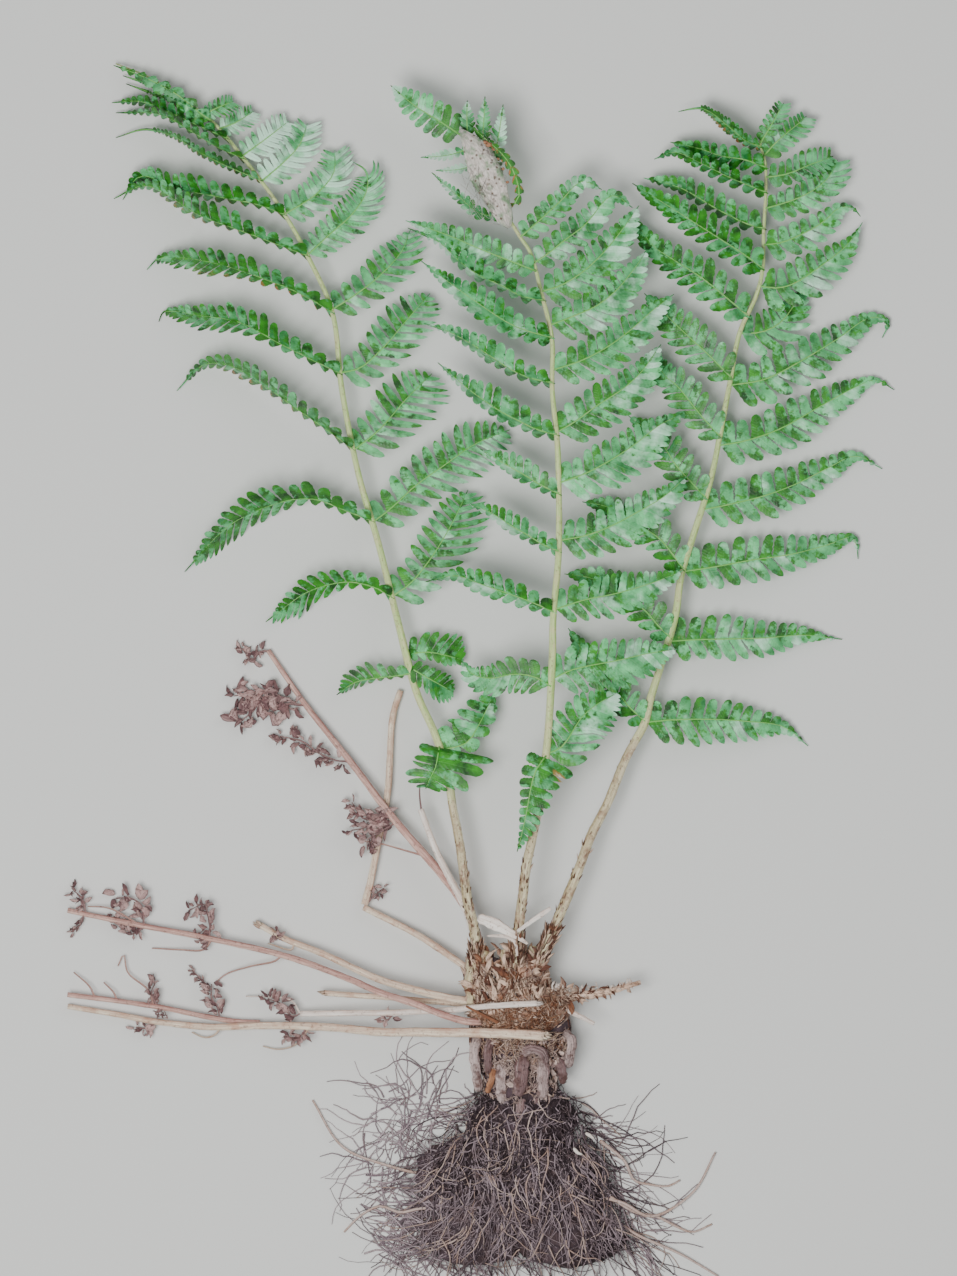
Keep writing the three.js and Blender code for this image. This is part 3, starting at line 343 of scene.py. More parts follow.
def cloud(tree, place, scale, detail=3.0, rough=0.55):
    """Soft random patches between 0 and 1, with scale patches to a unit of length."""
    values = {"Vector": place, "Scale": scale, "Detail": detail, "Roughness": rough}
    return node(tree, "ShaderNodeTexNoise", values).outputs["Fac"]


def between(tree, value, low, high):
    """0 below the low value, 1 above the high value, and a straight slope in between."""
    values = {"Value": value, "From Min": low, "From Max": high}
    return node(tree, "ShaderNodeMapRange", values, clamp=True).outputs["Result"]


def colours(tree, factor, first, second):
    """First colour where the factor is 0 and the second where it is 1."""
    return node(tree, "ShaderNodeMix", {0: factor, 6: first, 7: second}, data_type="RGBA").outputs[2]


def finish_with(tree, shader, colour, roughness, height, distance):
    """Connect the colour, the roughness and the bumps (height from 0 to 1, distance in metres)."""
    tree.links.new(colour, shader.inputs["Base Color"])
    tree.links.new(roughness, shader.inputs["Roughness"])
    bump = node(tree, "ShaderNodeBump", {"Height": height, "Distance": distance, "Strength": 1.0})
    tree.links.new(bump.outputs["Normal"], shader.inputs["Normal"])


print("colour of a leaflet's strong green:", np.round(rgb("389c1a")[:3], 3).tolist())

# %% [markdown]
# ## Green leaflets
#
# The upper side of the leaflets is leathery, a milky mint green in some places and a clear, strong
# green in others. The milky green is partly the leaf's own colour and partly a painted sheen: a
# whitish glaze in the colour that stands for light reflected from the glossy leaflets. One even
# green would look like plastic. So the finish mixes two greens by a number kept for each leaflet
# and by soft patches, and draws the veins as bumps, which is lighter than modelling them. Ripe
# spore cases are orange brown dots along the edge of a few leaf arms.

# %% A dead spot on a leaf
SPOT = {"Location": (0.0208, 0.1306, 0.042), "Rotation": (0.0, 0.0, -0.84),
        "Scale": (0.0068, 0.0017, 0.02)}


def damaged(tree, place, colour):
    """One long dead spot on the lowest leaf arm of the middle frond: the place is turned and
    stretched so that the spot is a ball of radius 1, pale inside with a brown edge."""
    local = node(tree, "ShaderNodeMapping", {"Vector": place, **SPOT}, vector_type="TEXTURE").outputs[0]
    far = node(tree, "ShaderNodeVectorMath", {0: local}, operation="LENGTH").outputs["Value"]
    far = plus(tree, far, times(tree, cloud(tree, place, 400.0), 0.8))
    inside = colours(tree, between(tree, far, 0.7, 1.1), rgb("dccab0"), rgb("8c7430"))
    return colours(tree, between(tree, far, 1.25, 1.5), inside, colour)


print("the spot's width in metres:", 2 * SPOT["Scale"][1])


# %% Finish of the leaflets
def leaf_finish():
    """Strong green and milky green, mixed by tone and patches; veins by the place on the leaflet. The
    milky green is partly the leaf's own colour and partly a painted sheen with a near-white glaze.
    """
    material, tree, shader = start_finish("leaf", Specular_IOR_Level=0.4, Coat_Weight=0.06,
                                          Coat_Roughness=0.35)
    place = own_place(tree)
    patches = times(tree, cloud(tree, place, 190.0, 5.0, 0.65), 2.4)
    patches = plus(tree, patches, times(tree, cloud(tree, place, 520.0), 0.4))
    # Painted sheen: one side of each leaflet leans towards the milky green and its glaze
    lean = times(tree, value_of(tree, "across"), 0.1)
    patches = plus(tree, patches, lean)
    # Strong green turns into milky green here: partly the leaf's own colour and partly painted sheen
    milk_and_sheen = between(tree, plus(tree, value_of(tree, "tone"), patches), 1.62, 1.84)
    # Painted sheen: a near-white glaze (d0f7de) over the milky green where tone and patches are high
    painted_sheen = times(tree, cloud(tree, place, 95.0), 1.6)
    painted_sheen = plus(tree, value_of(tree, "tone"), painted_sheen)
    painted_sheen = times(tree, between(tree, painted_sheen, 1.4, 1.8), 0.8)
    strong = between(tree, cloud(tree, place, 160.0), 0.33, 0.74)
    strong = colours(tree, strong, rgb("063d03"), rgb("389c1a"))
    mint = between(tree, cloud(tree, place, 110.0), 0.3, 0.68)
    mint = colours(tree, mint, rgb("156a2c"), rgb("6ad086"))
    mint = colours(tree, painted_sheen, mint, rgb("d0f7de"))
    colour = colours(tree, milk_and_sheen, strong, mint)
    side = reckon(tree, "ABSOLUTE", value_of(tree, "across"), 0.0)
    slant = reckon(tree, "SUBTRACT", times(tree, value_of(tree, "along"), 52.0), times(tree, side, 7.0))
    veins = times(tree, reckon(tree, "SINE", slant, 0.0), 0.1)
    groove = between(tree, side, 0.0, 0.14)
    colour = colours(tree, times(tree, reckon(tree, "SUBTRACT", 1.0, groove), 0.16),
                     colour, rgb("4c9a44"))
    edge = between(tree, value_of(tree, "along"), 0.5, 0.72)
    edge = times(tree, value_of(tree, "sori"), edge)
    spots = between(tree, cloud(tree, place, 520.0, 2.0), 0.48, 0.54)
    colour = colours(tree, times(tree, edge, spots), colour, rgb("ab6a38"))
    blemish = between(tree, cloud(tree, place, 330.0, 3.0, 0.7), 0.66, 0.74)
    colour = colours(tree, times(tree, blemish, 0.55), colour, rgb("6d7a3a"))
    colour = damaged(tree, place, colour)
    roughness = between(tree, cloud(tree, place, 240.0), -0.9, 2.0)
    height = plus(tree, times(tree, groove, 0.3), veins)
    height = plus(tree, height, times(tree, cloud(tree, place, 500.0), 0.5))
    finish_with(tree, shader, colour, roughness, height, 0.0003)
    return material


LEAF = leaf_finish()
print("leaf finish:", len(LEAF.node_tree.nodes), "nodes")

# %% [markdown]
# ## Ribs and living stalks
#
# The midrib is smooth, greener on the left and straw coloured on the right, with fine lines along
# it; these two sides are partly its own colours and partly painted shade. Every finish made here
# also paints one flank of its piece darker than the other, as shade. Nearer the crown the stalk is
# paler and has dark specks. Dead stalks, scales and roots have a long grain too. A finish for each
# could be built from nothing, but one function makes them all, because they differ only in their
# colours and in how rough they are.

# %% A function for finishes with a long grain
def stalk_finish(name, codes, blotches=0.5, vary=0.2, rough=0.45, lean=0.12, foot=None, bump=0.0004):
    """Light and dark long streaks, shifted by the side of the stalk (lean, a painted shade that makes
    one flank darker) and by the tone of each part (vary). Soft blotches and small specks lie over
    them. The codes are those of the light, dark, speck and blotch colours. A foot pair of light and
    dark holds for the first part of the stalk and changes slowly into the others."""
    material, tree, shader = start_finish(name, Specular_IOR_Level=0.35)
    light, dark, speck, blotch = (rgb(code) for code in codes.split())
    place = own_place(tree)
    if foot:
        way = times(tree, cloud(tree, place, 90.0), 60.0)
        way = plus(tree, value_of(tree, "along"), way)
        upper = between(tree, way, 25.0, 85.0)
        foot_light, foot_dark = (rgb(code) for code in foot.split())
        light = colours(tree, upper, foot_light, light)
        dark = colours(tree, upper, foot_dark, dark)
    grain = cloud(tree, along_across(tree, 0.04, 2.2), 1.7, 5.0, 0.62)
    # Painted shade: the value across, times lean, shifts one flank towards the dark colour
    side = times(tree, value_of(tree, "across"), lean)
    tone = times(tree, reckon(tree, "SUBTRACT", value_of(tree, "tone"), 0.5), vary)
    mix = between(tree, plus(tree, plus(tree, grain, side), tone), 0.3, 0.7)
    colour = colours(tree, mix, light, dark)
    patch = between(tree, cloud(tree, place, 130.0, 5.0, 0.65), 0.5, 0.62)
    colour = colours(tree, times(tree, patch, blotches), colour, blotch)
    dots = between(tree, cloud(tree, place, 650.0, 3.0, 0.7), 0.58, 0.66)
    colour = colours(tree, times(tree, dots, 0.5), colour, speck)
    roughness = plus(tree, times(tree, grain, 0.3), rough)
    height = times(tree, dots, 0.3)
    height = plus(tree, times(tree, grain, 1.5), height)
    finish_with(tree, shader, colour, roughness, height, bump)
    return material


# %% Finishes of ribs, stalks, scales and roots
RIB = stalk_finish("rib", "d3e0a0 96bf5a 8a7a55 d6cc9a", 0.5, rough=0.25, lean=-0.15, foot="dcd4aa a9ab70")
COSTA = stalk_finish("costa", "8fcb70 55a544 7c8a45 a2c07c", 0.4, rough=0.3, bump=0.0001)
STIPE = stalk_finish("stipe", "e2d8b6 ad9a72 5a3d30 94705a", 0.7)
DEAD = stalk_finish("dead_brown", "e6c0b0 925f58 5a3a34 a9746a", 0.4)
CRISP = stalk_finish("shrivelled", "c9a8a2 6e4f50 3a2829 966d6a", 0.5, vary=0.7, bump=0.0005)
STRAW = stalk_finish("dead_straw", "f5e6cc bb9480 7a5848 b5795c", 0.45)
BONE = stalk_finish("torn_white", "fdf5ea d0b8aa 9a7a68 e0c4b4", 0.4)
RUST = stalk_finish("rust_scales", "e6c6ae 643d2e 3f261c 96603f", 0.6, vary=1.1, bump=0.0005)
ROOT = stalk_finish("roots", "96858a 44363c b8a49c 6b5450", 0.4, vary=0.8, bump=0.0001)
LOOSE_ROOT = stalk_finish("loose_roots", "b5a4a8 76656b 52444a 8a7470", 0.4, vary=0.6, bump=0.0001)
TAN_ROOT = stalk_finish("pale_roots", "d2bdb2 947870 5a4640 a98470", 0.5, bump=0.0002)
# The earth finish colours the rhizome's stem and the root mat, and paints the shade in the crown's hollow
EARTH_AND_SHADE = stalk_finish("root_earth_and_shade", "55444a 281d20 6b5650 4d3c3c", 0.6, rough=0.7, bump=0.0006)
STUMP = stalk_finish("rhizome", "e2cac4 8c6f6e 4a3434 6e4c44", 0.85, vary=0.5, bump=0.002)
BUD = stalk_finish("bud", "c48f6c 84553a 553424 74462f", 0.6, vary=0.4)
print("finishes so far:", [material.name for material in bpy.data.materials])

# %% [markdown]
# ## The fronds
#
# A frond has a midrib and two rows of leaf arms, and each leaf arm is cut nearly to its rib into
# leaflets. The leaf arms on the right lie flat. Those on the left have rolled so that they show
# their edge, with the side towards the tip turned up. A rule could lay out all the arms of an
# ideal fern, but no two real arms bend alike. So each one was measured from the photograph: its
# course, and how far its leaflets reach on the side of the frond's tip (up) and on the other
# side (down), in this order.

# %% What is noted for a leaf arm
def arm(route, up, down, **more):
    """One leaf arm: its course seen from above, and the reach of its leaflets in millimetres.

    More can hold: flat, for an arm on the left that isn't rolled; lift, the height of its start
    above the midrib; bow, the height of its arch; end_z, the height of its tip; cut, how its
    leaflets are cut; pale, how milky it is, partly its own colour and partly painted sheen, from 0
    to 1; dots, how many spore cases it shows.
    """
    return dict(route=route, up=up, down=down, **more)


print("a straight leaf arm:", arm([[0, 0], [90, 0]], 10, 12))

# %% [markdown]
# ### Left frond
#
# The longest frond. Its arms on the left are rolled, and its crowded tip is drawn together like a
# hand. end_z gives the height at which the arms of one side end.

# %% The left frond's midrib and its arms on the left
LEFT_FROND = dict(
    midrib=[[-33.8, 118, 21], [-35.3, 128.6, 20], [-41.8, 151.5, 19], [-51.6, 174, 18], [-61, 209.6, 17.5],
            [-70.7, 248.4, 17], [-80.4, 282, 17], [-88.8, 324.7, 17], [-93.6, 363.4, 17],
            [-105.2, 390, 16.5], [-117.2, 411.8, 16], [-137.6, 439.8, 14], [-154, 459, 11], [-170, 471, 8],
            [-184.4, 480.6, 5.5], [-202, 488, 3]],
    left_end_z=2.5, right_end_z=7,
)
LEFT_FROND["left"] = [
    arm([[-38, 147.5], [-42.2, 136.5], [-45, 131], [-47, 126]], 12.5, 31, flat=True, lift=5, end_z=25,
        cut="comb", pale=0.1),
    arm([[-53.5, 184], [-62, 182], [-72, 181], [-82, 179], [-91.6, 172.6]], 9, 3, end_z=8),
    arm([[-63.4, 222], [-72, 226], [-85, 229], [-98, 227], [-108, 223], [-118, 216], [-127, 209]], 8, 9,
        end_z=6, dots=0),
    arm([[-75.5, 259], [-88, 265], [-101, 270], [-114, 270], [-137, 262], [-149, 254], [-167.6, 234]], 9,
        8.5, dots=0),
    arm([[-83.5, 295], [-95, 304], [-110, 314.5], [-130, 328.5], [-145, 337], [-158, 337.5],
        [-171.5, 324.5]], 6.5, 3.2, dots=2.5),
    arm([[-91, 333], [-100, 338], [-120, 348], [-140, 358.5], [-160, 362], [-178, 364], [-180.5, 359]],
        8.5, 7.5, dots=0),
    arm([[-94, 364], [-110, 373], [-130, 381], [-150, 387.5], [-170, 391], [-180, 391], [-186.5, 385]],
        7.5, 7),
    arm([[-107, 391.5], [-120, 397], [-140, 404.5], [-160, 412], [-187, 427], [-203, 420.5]], 8, 2.6,
        dots=2.5),
    arm([[-116, 413], [-130, 417], [-150, 421], [-170, 425], [-190, 431.5], [-198.5, 420]], 8, 4.5,
        dots=0.5),
    arm([[-129, 429.5], [-145, 436], [-160, 443.5], [-172, 451], [-187, 455], [-202, 451]], 2.6, 1.5,
        cut="thread"),
    arm([[-138, 440], [-150, 445.5], [-165, 454.5], [-180, 462.5], [-202, 463.5]], 3.6, 1.4),
    arm([[-146, 450], [-160, 456.5], [-175, 463.5], [-190, 469], [-204, 468.5]], 4.8, 2.4),
    arm([[-155, 460], [-175, 469.5], [-197, 478]], 1.5, 1.4, cut="thread"),
    arm([[-165, 468], [-180, 475.5], [-198.5, 482]], 1.5, 1.4, cut="thread"),
    arm([[-154, 459], [-160, 463], [-171.6, 472.3], [-188, 481], [-203, 487]], 2.2, 5, flat=True,
        cut="band", lift=2.5, end_z=7, pale=0.3),
]
print("arms on its left:", len(LEFT_FROND["left"]))

# %% The left frond's arms on the right
LEFT_FROND["right"] = [
    arm([[-34.5, 146], [-26.5, 149], [-21, 157], [-16, 167], [-13.5, 173]], 14.5, 6.5, end_z=12,
        cut="broad"),
    arm([[-52, 187], [-44, 180], [-33, 174]], 7, 8, lift=2, end_z=12, cut="blunt", pale=0.1),
    arm([[-57, 193], [-46, 194], [-28, 190]], 12, 5, lift=-4, end_z=8, cut="blunt", pale=0.1),
    arm([[-62.8, 222], [-55, 228], [-48, 236], [-41, 246], [-33, 260], [-26, 275]], 13, 17),
    arm([[-73, 259], [-64, 266], [-52, 277], [-38, 287], [-22, 298], [-5, 305]], 14, 15.5),
    arm([[-83, 294.5], [-70, 305], [-57, 320], [-44, 333]], 14, 17),
    arm([[-90, 333], [-80, 335.5], [-68, 346], [-57, 359], [-45, 373]], 12.5, 14),
    arm([[-94.5, 365], [-83.6, 371], [-70, 381.6], [-58.8, 394.4], [-54.8, 404.8]], 11.5, 12),
    arm([[-106, 392], [-94, 403], [-84, 412], [-76.5, 424], [-77, 434], [-85, 439.5]], 10, 11,
        cut="hooked", pale=0.5),
    arm([[-116, 413], [-102, 422], [-93, 433], [-92.5, 444.5]], 10, 10.5, cut="webbed", pale=0.6),
    arm([[-128, 430], [-117.5, 438.5], [-110, 447], [-106, 458]], 9.5, 10, cut="webbed", pale=0.8),
    arm([[-139, 441], [-128, 449], [-115.5, 459]], 8, 9, cut="webbed", pale=0.9),
    arm([[-151, 454], [-142, 458], [-133, 464]], 6, 6.5, cut="webbed", pale=0.7),
    arm([[-158, 462], [-150, 466], [-143, 469]], 5, 6, cut="webbed"),
]
print("arms on its right:", len(LEFT_FROND["right"]))

# %% [markdown]
# ### Middle frond
#
# It stands highest, and its folded tip holds the silk nest. The arms round the nest are short
# and stand on edge, so they are noted as narrow ones with a saw edge.

# %% The middle frond's midrib and its arms on the left
MIDDLE_FROND = dict(
    midrib=[[10.2, 122, 38], [13, 145, 38], [14.2, 159, 38], [15.9, 190, 38], [16.3, 210.7, 38],
            [19, 243.3, 38], [19, 281, 38], [18.4, 297.5, 38], [15.8, 325, 38], [15.7, 349, 38],
            [10.3, 373, 37], [4.9, 392.5, 36], [0, 400, 35.5], [-6, 410, 35], [-13, 424, 34],
            [-20, 437, 33], [-28, 449, 31], [-33, 454, 30]],
    left_end_z=27, right_end_z=27,
)
MIDDLE_FROND["left"] = [
    arm([[14, 142], [8, 136], [5.5, 128], [3.5, 117], [1, 105], [-1.6, 95]], 8, 18.5, flat=True, lift=4,
        end_z=42, cut="plate", pale=0.1),
    arm([[16, 177], [6, 182], [-4, 183], [-14, 181], [-24, 183], [-29, 190]], 9, 10, flat=True, pale=0.3),
    arm([[16.8, 214], [10, 217], [0, 221], [-10, 224.5], [-20, 228], [-32, 232], [-47, 229]], 8, 5.5),
    arm([[19, 244], [12, 247], [4, 252], [-4, 256.5], [-13, 262.5], [-27, 268.5]], 7, 3.5),
    arm([[18.5, 273], [10, 277], [2, 282], [-6, 286.5], [-20, 295]], 9, 4),
    arm([[17.5, 302], [8, 304.5], [0, 308.5], [-8, 312.5], [-18, 319], [-28, 326.5], [-41, 338]], 9.5, 4),
    arm([[15.5, 328], [5, 330], [-4, 334], [-14, 340.5], [-24, 347], [-36, 353.5], [-48, 357.5]], 8.5, 3),
    arm([[15, 350], [5, 353], [-5, 357], [-21, 367.4], [-37.5, 379.4], [-49.4, 388.6]], 8.5, 7),
    arm([[11.5, 369], [0, 371], [-8, 375.5], [-20, 381], [-30, 388], [-40, 397.5], [-56, 405]], 7, 2.5),
    arm([[7.5, 383], [-5, 388], [-20, 394], [-36, 401], [-57, 408.6]], 8, 6, lift=3, bow=5, flat=True),
    arm([[-6, 410], [-20, 412], [-30, 420], [-44, 432.5]], 3.5, 3.6, pale=0.1, cut="saw"),
    arm([[-20, 437], [-30, 434], [-42, 433.5]], 2.5, 2, pale=0.6, cut="saw"),
    arm([[-25, 444], [-36, 441], [-49.5, 440]], 3, 2.6, pale=0.5, cut="saw"),
]
print("arms on its left:", len(MIDDLE_FROND["left"]))

# %% The middle frond's arms on the right
MIDDLE_FROND["right"] = [
    arm([[13.5, 143], [20, 146.5], [25, 153], [30, 161], [38, 168], [49, 174]], 12, 16),
    arm([[16, 180], [25, 185], [33, 187], [49, 190], [62, 193], [78, 195.5]], 12.5, 15),
    arm([[17, 215], [32, 220], [45, 222.5], [58, 226], [70, 230], [81, 234.6]], 10.5, 11.5),
    arm([[19.5, 249], [33, 252], [46, 257], [59, 264], [71, 271], [83, 281.5]], 10.5, 13.5),
    arm([[19, 277.5], [33, 283], [46, 290], [58, 298], [68, 306], [81, 313]], 10.5, 14.5),
    arm([[18, 303], [28, 309], [39, 317], [50, 324], [60, 333], [70, 347]], 10.5, 13.5),
    arm([[15.8, 334], [31, 339], [44, 346], [56, 355], [66, 364], [76.4, 372]], 9.5, 12.5),
    arm([[14.6, 356.6], [27, 361], [38, 366], [48, 374], [57, 385], [63.4, 394]], 9, 12.5),
    arm([[10.3, 373], [20, 376], [30, 382], [40, 391], [50, 403], [59, 416]], 9.5, 12.5),
    arm([[6.5, 387], [14, 392], [22, 398.5], [32, 406], [46, 421], [55.8, 415]], 8, 8.5),
    arm([[0, 400], [8, 407], [20, 418], [31, 428], [40.6, 424]], 7, 7),
    arm([[-8, 414], [-1.5, 417.5], [-0.6, 422], [-2, 428.5], [-4.6, 434.5], [-8.3, 440], [-13, 444.6],
        [-18.5, 449.5], [-25.5, 456]], 2.2, 2.2, lift=6, bow=5, end_z=40, cut="fold", pale=-0.2),
    arm([[-15, 428], [-12, 444], [-10, 455], [-8.5, 466]], 4.6, 4.6, end_z=34, pale=0.1, cut="saw"),
    arm([[-20, 437], [-18.5, 452], [-17.5, 470]], 4.2, 4.2, end_z=34, pale=0.0, cut="saw"),
    arm([[-26, 446], [-26.5, 456], [-26.3, 468]], 4, 4, end_z=34, pale=0.0, cut="saw"),
    arm([[-30, 451], [-42, 459], [-53, 466], [-64.5, 476]], 9, 9.5, end_z=24, cut="tip", pale=0.05),
]
print("arms on its right:", len(MIDDLE_FROND["right"]))

# %% [markdown]
# ### Right frond
#
# It spreads widest. Its long arms on the right bend back at their tips, and those on the left
# pass below the middle frond.

# %% The right frond's midrib and its arms on the left
RIGHT_FROND = dict(
    midrib=[[57.5, 150, 19], [61.8, 158, 18.5], [65.3, 172, 18], [70, 187, 17.5], [77.3, 212, 17],
            [80.2, 231.6, 17], [86, 251, 17], [95, 280, 17], [99.7, 302.8, 17], [104.5, 328, 17],
            [109.4, 353, 16.5], [118, 372.6, 16], [120.8, 384.6, 16], [121.4, 404, 15.5], [122.5, 425, 15],
            [122.2, 438, 14], [119.8, 449, 12.5], [124, 458, 11], [130, 468, 10]],
    left_end_z=9, right_end_z=1.4,
)
RIGHT_FROND["left"] = [
    arm([[62, 160], [54, 167], [50, 172], [40, 182], [24, 206]], 9, 8),
    arm([[77, 201], [68, 208], [63, 214], [50, 224], [35, 231], [22, 233]], 11, 9),
    arm([[82, 235], [75, 244], [70, 250], [60, 257], [45, 266], [31, 269]], 10, 9),
    arm([[92, 271], [83, 281], [77, 288], [72, 296], [66, 302], [54, 312]], 10, 9),
    arm([[98.5, 301.5], [90, 312], [78, 327], [72, 332], [66, 345]], 10.5, 9.5),
    arm([[104.5, 331], [100, 336], [93, 343], [80, 355], [62, 373]], 11, 10.5),
    arm([[112.5, 362], [106, 368], [92, 379.5], [76, 390], [66, 397], [57, 411]], 10, 10),
    arm([[120.5, 385], [110.5, 393], [99.7, 400], [88.8, 407], [67, 421], [56, 428]], 9, 8),
    arm([[121.3, 405], [113, 407.5], [98, 415], [80, 425.5], [61.7, 430.6]], 8.5, 3),
    arm([[122, 423], [105, 430.5], [90, 438], [77, 443.5], [67, 440]], 4.5, 4),
    arm([[122.5, 436], [112, 439.5], [100, 441.5], [90, 445], [75, 448.5]], 6, 6),
    arm([[120.5, 446], [112.5, 449.1], [107.1, 453.6], [101.8, 458], [96.4, 462.5], [91, 465.2],
        [85.7, 465], [79, 463.7]], 3, 3, cut="thread"),
]
print("arms on its left:", len(RIGHT_FROND["left"]))

# %% The right frond's arms on the right
RIGHT_FROND["right"] = [
    arm([[62, 159], [72, 160], [93, 160.5], [112, 159.5], [132, 156.5], [144, 147]], 11.5, 13.5),
    arm([[73.5, 199], [84, 200], [102, 200.5], [122, 201], [142, 202.5], [161, 200.3]], 12.5, 11),
    arm([[81, 234], [100, 237], [116, 240], [134, 242.5], [152, 247], [167, 251], [169, 240.5]], 13, 11.5),
    arm([[90.5, 265], [106, 268], [122, 272], [138, 278], [154, 286], [168, 292], [181, 285.5]], 12, 12),
    arm([[98, 297], [113, 299.5], [130, 305.5], [147, 315], [167, 326], [178, 330], [187, 325]], 12.5,
        12.5),
    arm([[104.5, 326.5], [122, 330], [138, 338], [158, 350], [175, 361], [184, 359], [181, 351]], 11.5,
        13.5),
    arm([[109.5, 353], [120, 353.5], [128, 357], [134, 363], [143, 379]], 11, 13, lift=-2),
    arm([[119.5, 376], [128, 375.5], [136, 377.5], [152, 388], [164, 398], [171, 408.5]], 11, 13, end_z=7),
    arm([[121.3, 397], [130.4, 398.2], [139.3, 401.8], [146.4, 405.4], [152.7, 409.8], [157.1, 414.3],
        [160.7, 416.1], [166.1, 415.6], [170, 411.5]], 8, 10, end_z=7),
    arm([[122, 415], [132, 418], [140.2, 421], [147.3, 425], [152.7, 429.5], [156.3, 434.8],
        [158.5, 439.7]], 7, 10, end_z=8, cut="fan"),
    arm([[122.3, 431], [130.4, 431.7], [137.5, 433.9], [144.6, 437.1], [151.8, 439.7], [156.3, 441.5]], 8,
        6.5, end_z=9, cut="fan"),
    arm([[121, 441], [127.7, 448.2], [133.9, 453.6], [139.3, 458], [143, 461.6]], 5.5, 8, end_z=8,
        cut="fan"),
    arm([[119.8, 448], [125.9, 458], [131.5, 468]], 5, 5.5, end_z=10, cut="fan"),
]
print("arms on its right:", len(RIGHT_FROND["right"]))

# %% [markdown]
# ## Where a leaf arm lies
#
# The course of a leaf arm is known from above, but not its height. A flat plant would be simpler
# to make, but it would have no shadows between its arms. So the height falls from the midrib to
# the tip with a slight arch, and stays high enough for the side that hangs down. The tilt of each
# side comes from how much narrower it looks than a flat leaf arm of the same length.

# %% How far the leaflets reach along an arm
REACHES = dict(
    even=(0.82, 1, 0.3, 0.7, 1.8),
    late=(0.66, 1, 0.5, 0.5, 2.6),
    tailed=(0.86, 1, 0.3, 0.64, 1.4),
    rolled=(0.4, 1, 0.45, 0.52, 1.5),
    under=(0.14, 2.2, 0.6, 0.4, 1.5),
    waist=(0.62, 1, 0.42, 0.55, 1.3),
    fan=(0.8, 1, 0.5, 0.62, 2.6),
    foot=(1.0, 1, 0.01, 1.0, 1.1),
    comb=(1.0, 1, 0.05, 1.15, 1.0),
    hand=(0.7, 1, 0.4, 0.66, 1.8),
)
NARROWEST = 0.05


def arm_reach(share, kind):
    """Reach of the leaflets along the arm, as a share of the greatest. From a first value it
    grows by a power of the way to the widest place, then falls as one minus a power of the way
    from there to the tip. The numbers of a kind are the first value, the power of growing, the
    widest place, the length of falling and its power."""
    first, rise, widest, rest, power = REACHES[kind]
    growing = first + (1 - first) * np.clip(share / widest, 0, 1) ** rise
    falling = 1 - np.clip((share - widest) / rest, 0, 1) ** power
    return np.where(share < widest, growing, np.maximum(falling, NARROWEST))


print("reach at a third and at the tip:", arm_reach(np.array([0.3, 1.0]), "even").tolist())


# %% Work out the axis and the tilt of a leaf arm
ARM_PLACES = 161


def arm_sides(hand, spec, length):
    """Hand, reach and tilt of both sides. The tilt is the angle whose cosine is the reach seen
    from above divided by the true reach."""
    true_reach = 0.135 * length + 1.5
    up_tilt, down_tilt = -0.1, 0.08
    if hand < 0:
        up_tilt = np.arccos(np.clip(spec["up"] / true_reach, 0.3, 0.97))
        down_tilt = -np.arccos(np.clip(spec["down"] / true_reach, 0.26, 0.97))
    dots = spec.get("dots", 1.0)
    sides = [dict(hand=hand, reach=spec["up"], tilt=up_tilt, dots=dots),
             dict(hand=-hand, reach=spec["down"], tilt=down_tilt, dots=dots)]
    if spec.get("flat"):
        sides[0]["tilt"], sides[1]["tilt"] = 0.06, -0.06
    elif hand < 0:
        sides[0]["start"], sides[1]["start"] = 0.8, -1.8
    return sides


def arm_axis(midrib, hand, spec, end_z, kind):
    """The rib of a leaf arm in space. Its height is a straight slope plus a sine arch, and never
    less than the drop of the hanging side. The arms on the left start on top of the midrib."""
    plan = np.array(spec["route"], float)
    seat = midrib[np.argmin(np.linalg.norm(midrib[:, :2] - plan[0], axis=1))]
    flat = smooth_path(np.vstack([seat[:2], plan[1:]]), ARM_PLACES)
    length = path_length(flat)
    sides = arm_sides(hand, spec, length)
    share = np.linspace(0, 1, ARM_PLACES)
    lift = spec.get("lift", 0)
    slope = seat[2] + lift + share * (spec.get("end_z", end_z) - seat[2] - lift)
    arch = spec.get("bow", 2.5) * np.sin(np.pi * share)
    drop = max([0] + [-np.tan(side["tilt"]) * side["reach"] for side in sides])
    lowest = drop * np.maximum(arm_reach(share, kind), arm_reach(share, "under")) + 1.2
    height = np.maximum(slope + arch, lowest)
    start = np.clip(share * 12, 0, 1)
    base = seat[2] + (1.7 if hand < 0 else 0.4)
    height = base + (height - base) * start * start * (3 - 2 * start)
    return np.column_stack([flat, height]), length, sides


test_axis = arm_axis(np.zeros((2, 3)), 1, arm([[0, 0], [90, 0]], 10, 12), 5, "even")[0]
print("highest place of a straight arm:", round(test_axis[:, 2].max(), 1))


# %% Find places on the two sides of a leaf arm
def on_arm(axis, length, side, s, reach, height):
    """Points s millimetres along the rib, reach millimetres to the side seen from above, and
    height millimetres off the leaf: rib + reach * across + (0, 0, reach * tan tilt)
    + height * normal."""
    way = np.linspace(0, length, len(axis))
    rib = np.stack([np.interp(s, way, column) for column in axis.T], axis=-1)
    along = unit(np.gradient(axis[:, :2], axis=0))
    along = unit(np.stack([np.interp(s, way, column) for column in along.T], axis=-1))
    rib[..., :2] += along * (np.maximum(s - length, 0) + np.minimum(s, 0))[..., None]
    across = side["hand"] * np.stack([-along[..., 1], along[..., 0]], axis=-1)
    sine, cosine = np.sin(side["tilt"]), np.cos(side["tilt"])
    plan = rib[..., :2] + across * (reach - height * sine)[..., None]
    level = rib[..., 2] + reach * sine / cosine + height * cosine
    return np.concatenate([plan, level[..., None]], axis=-1)


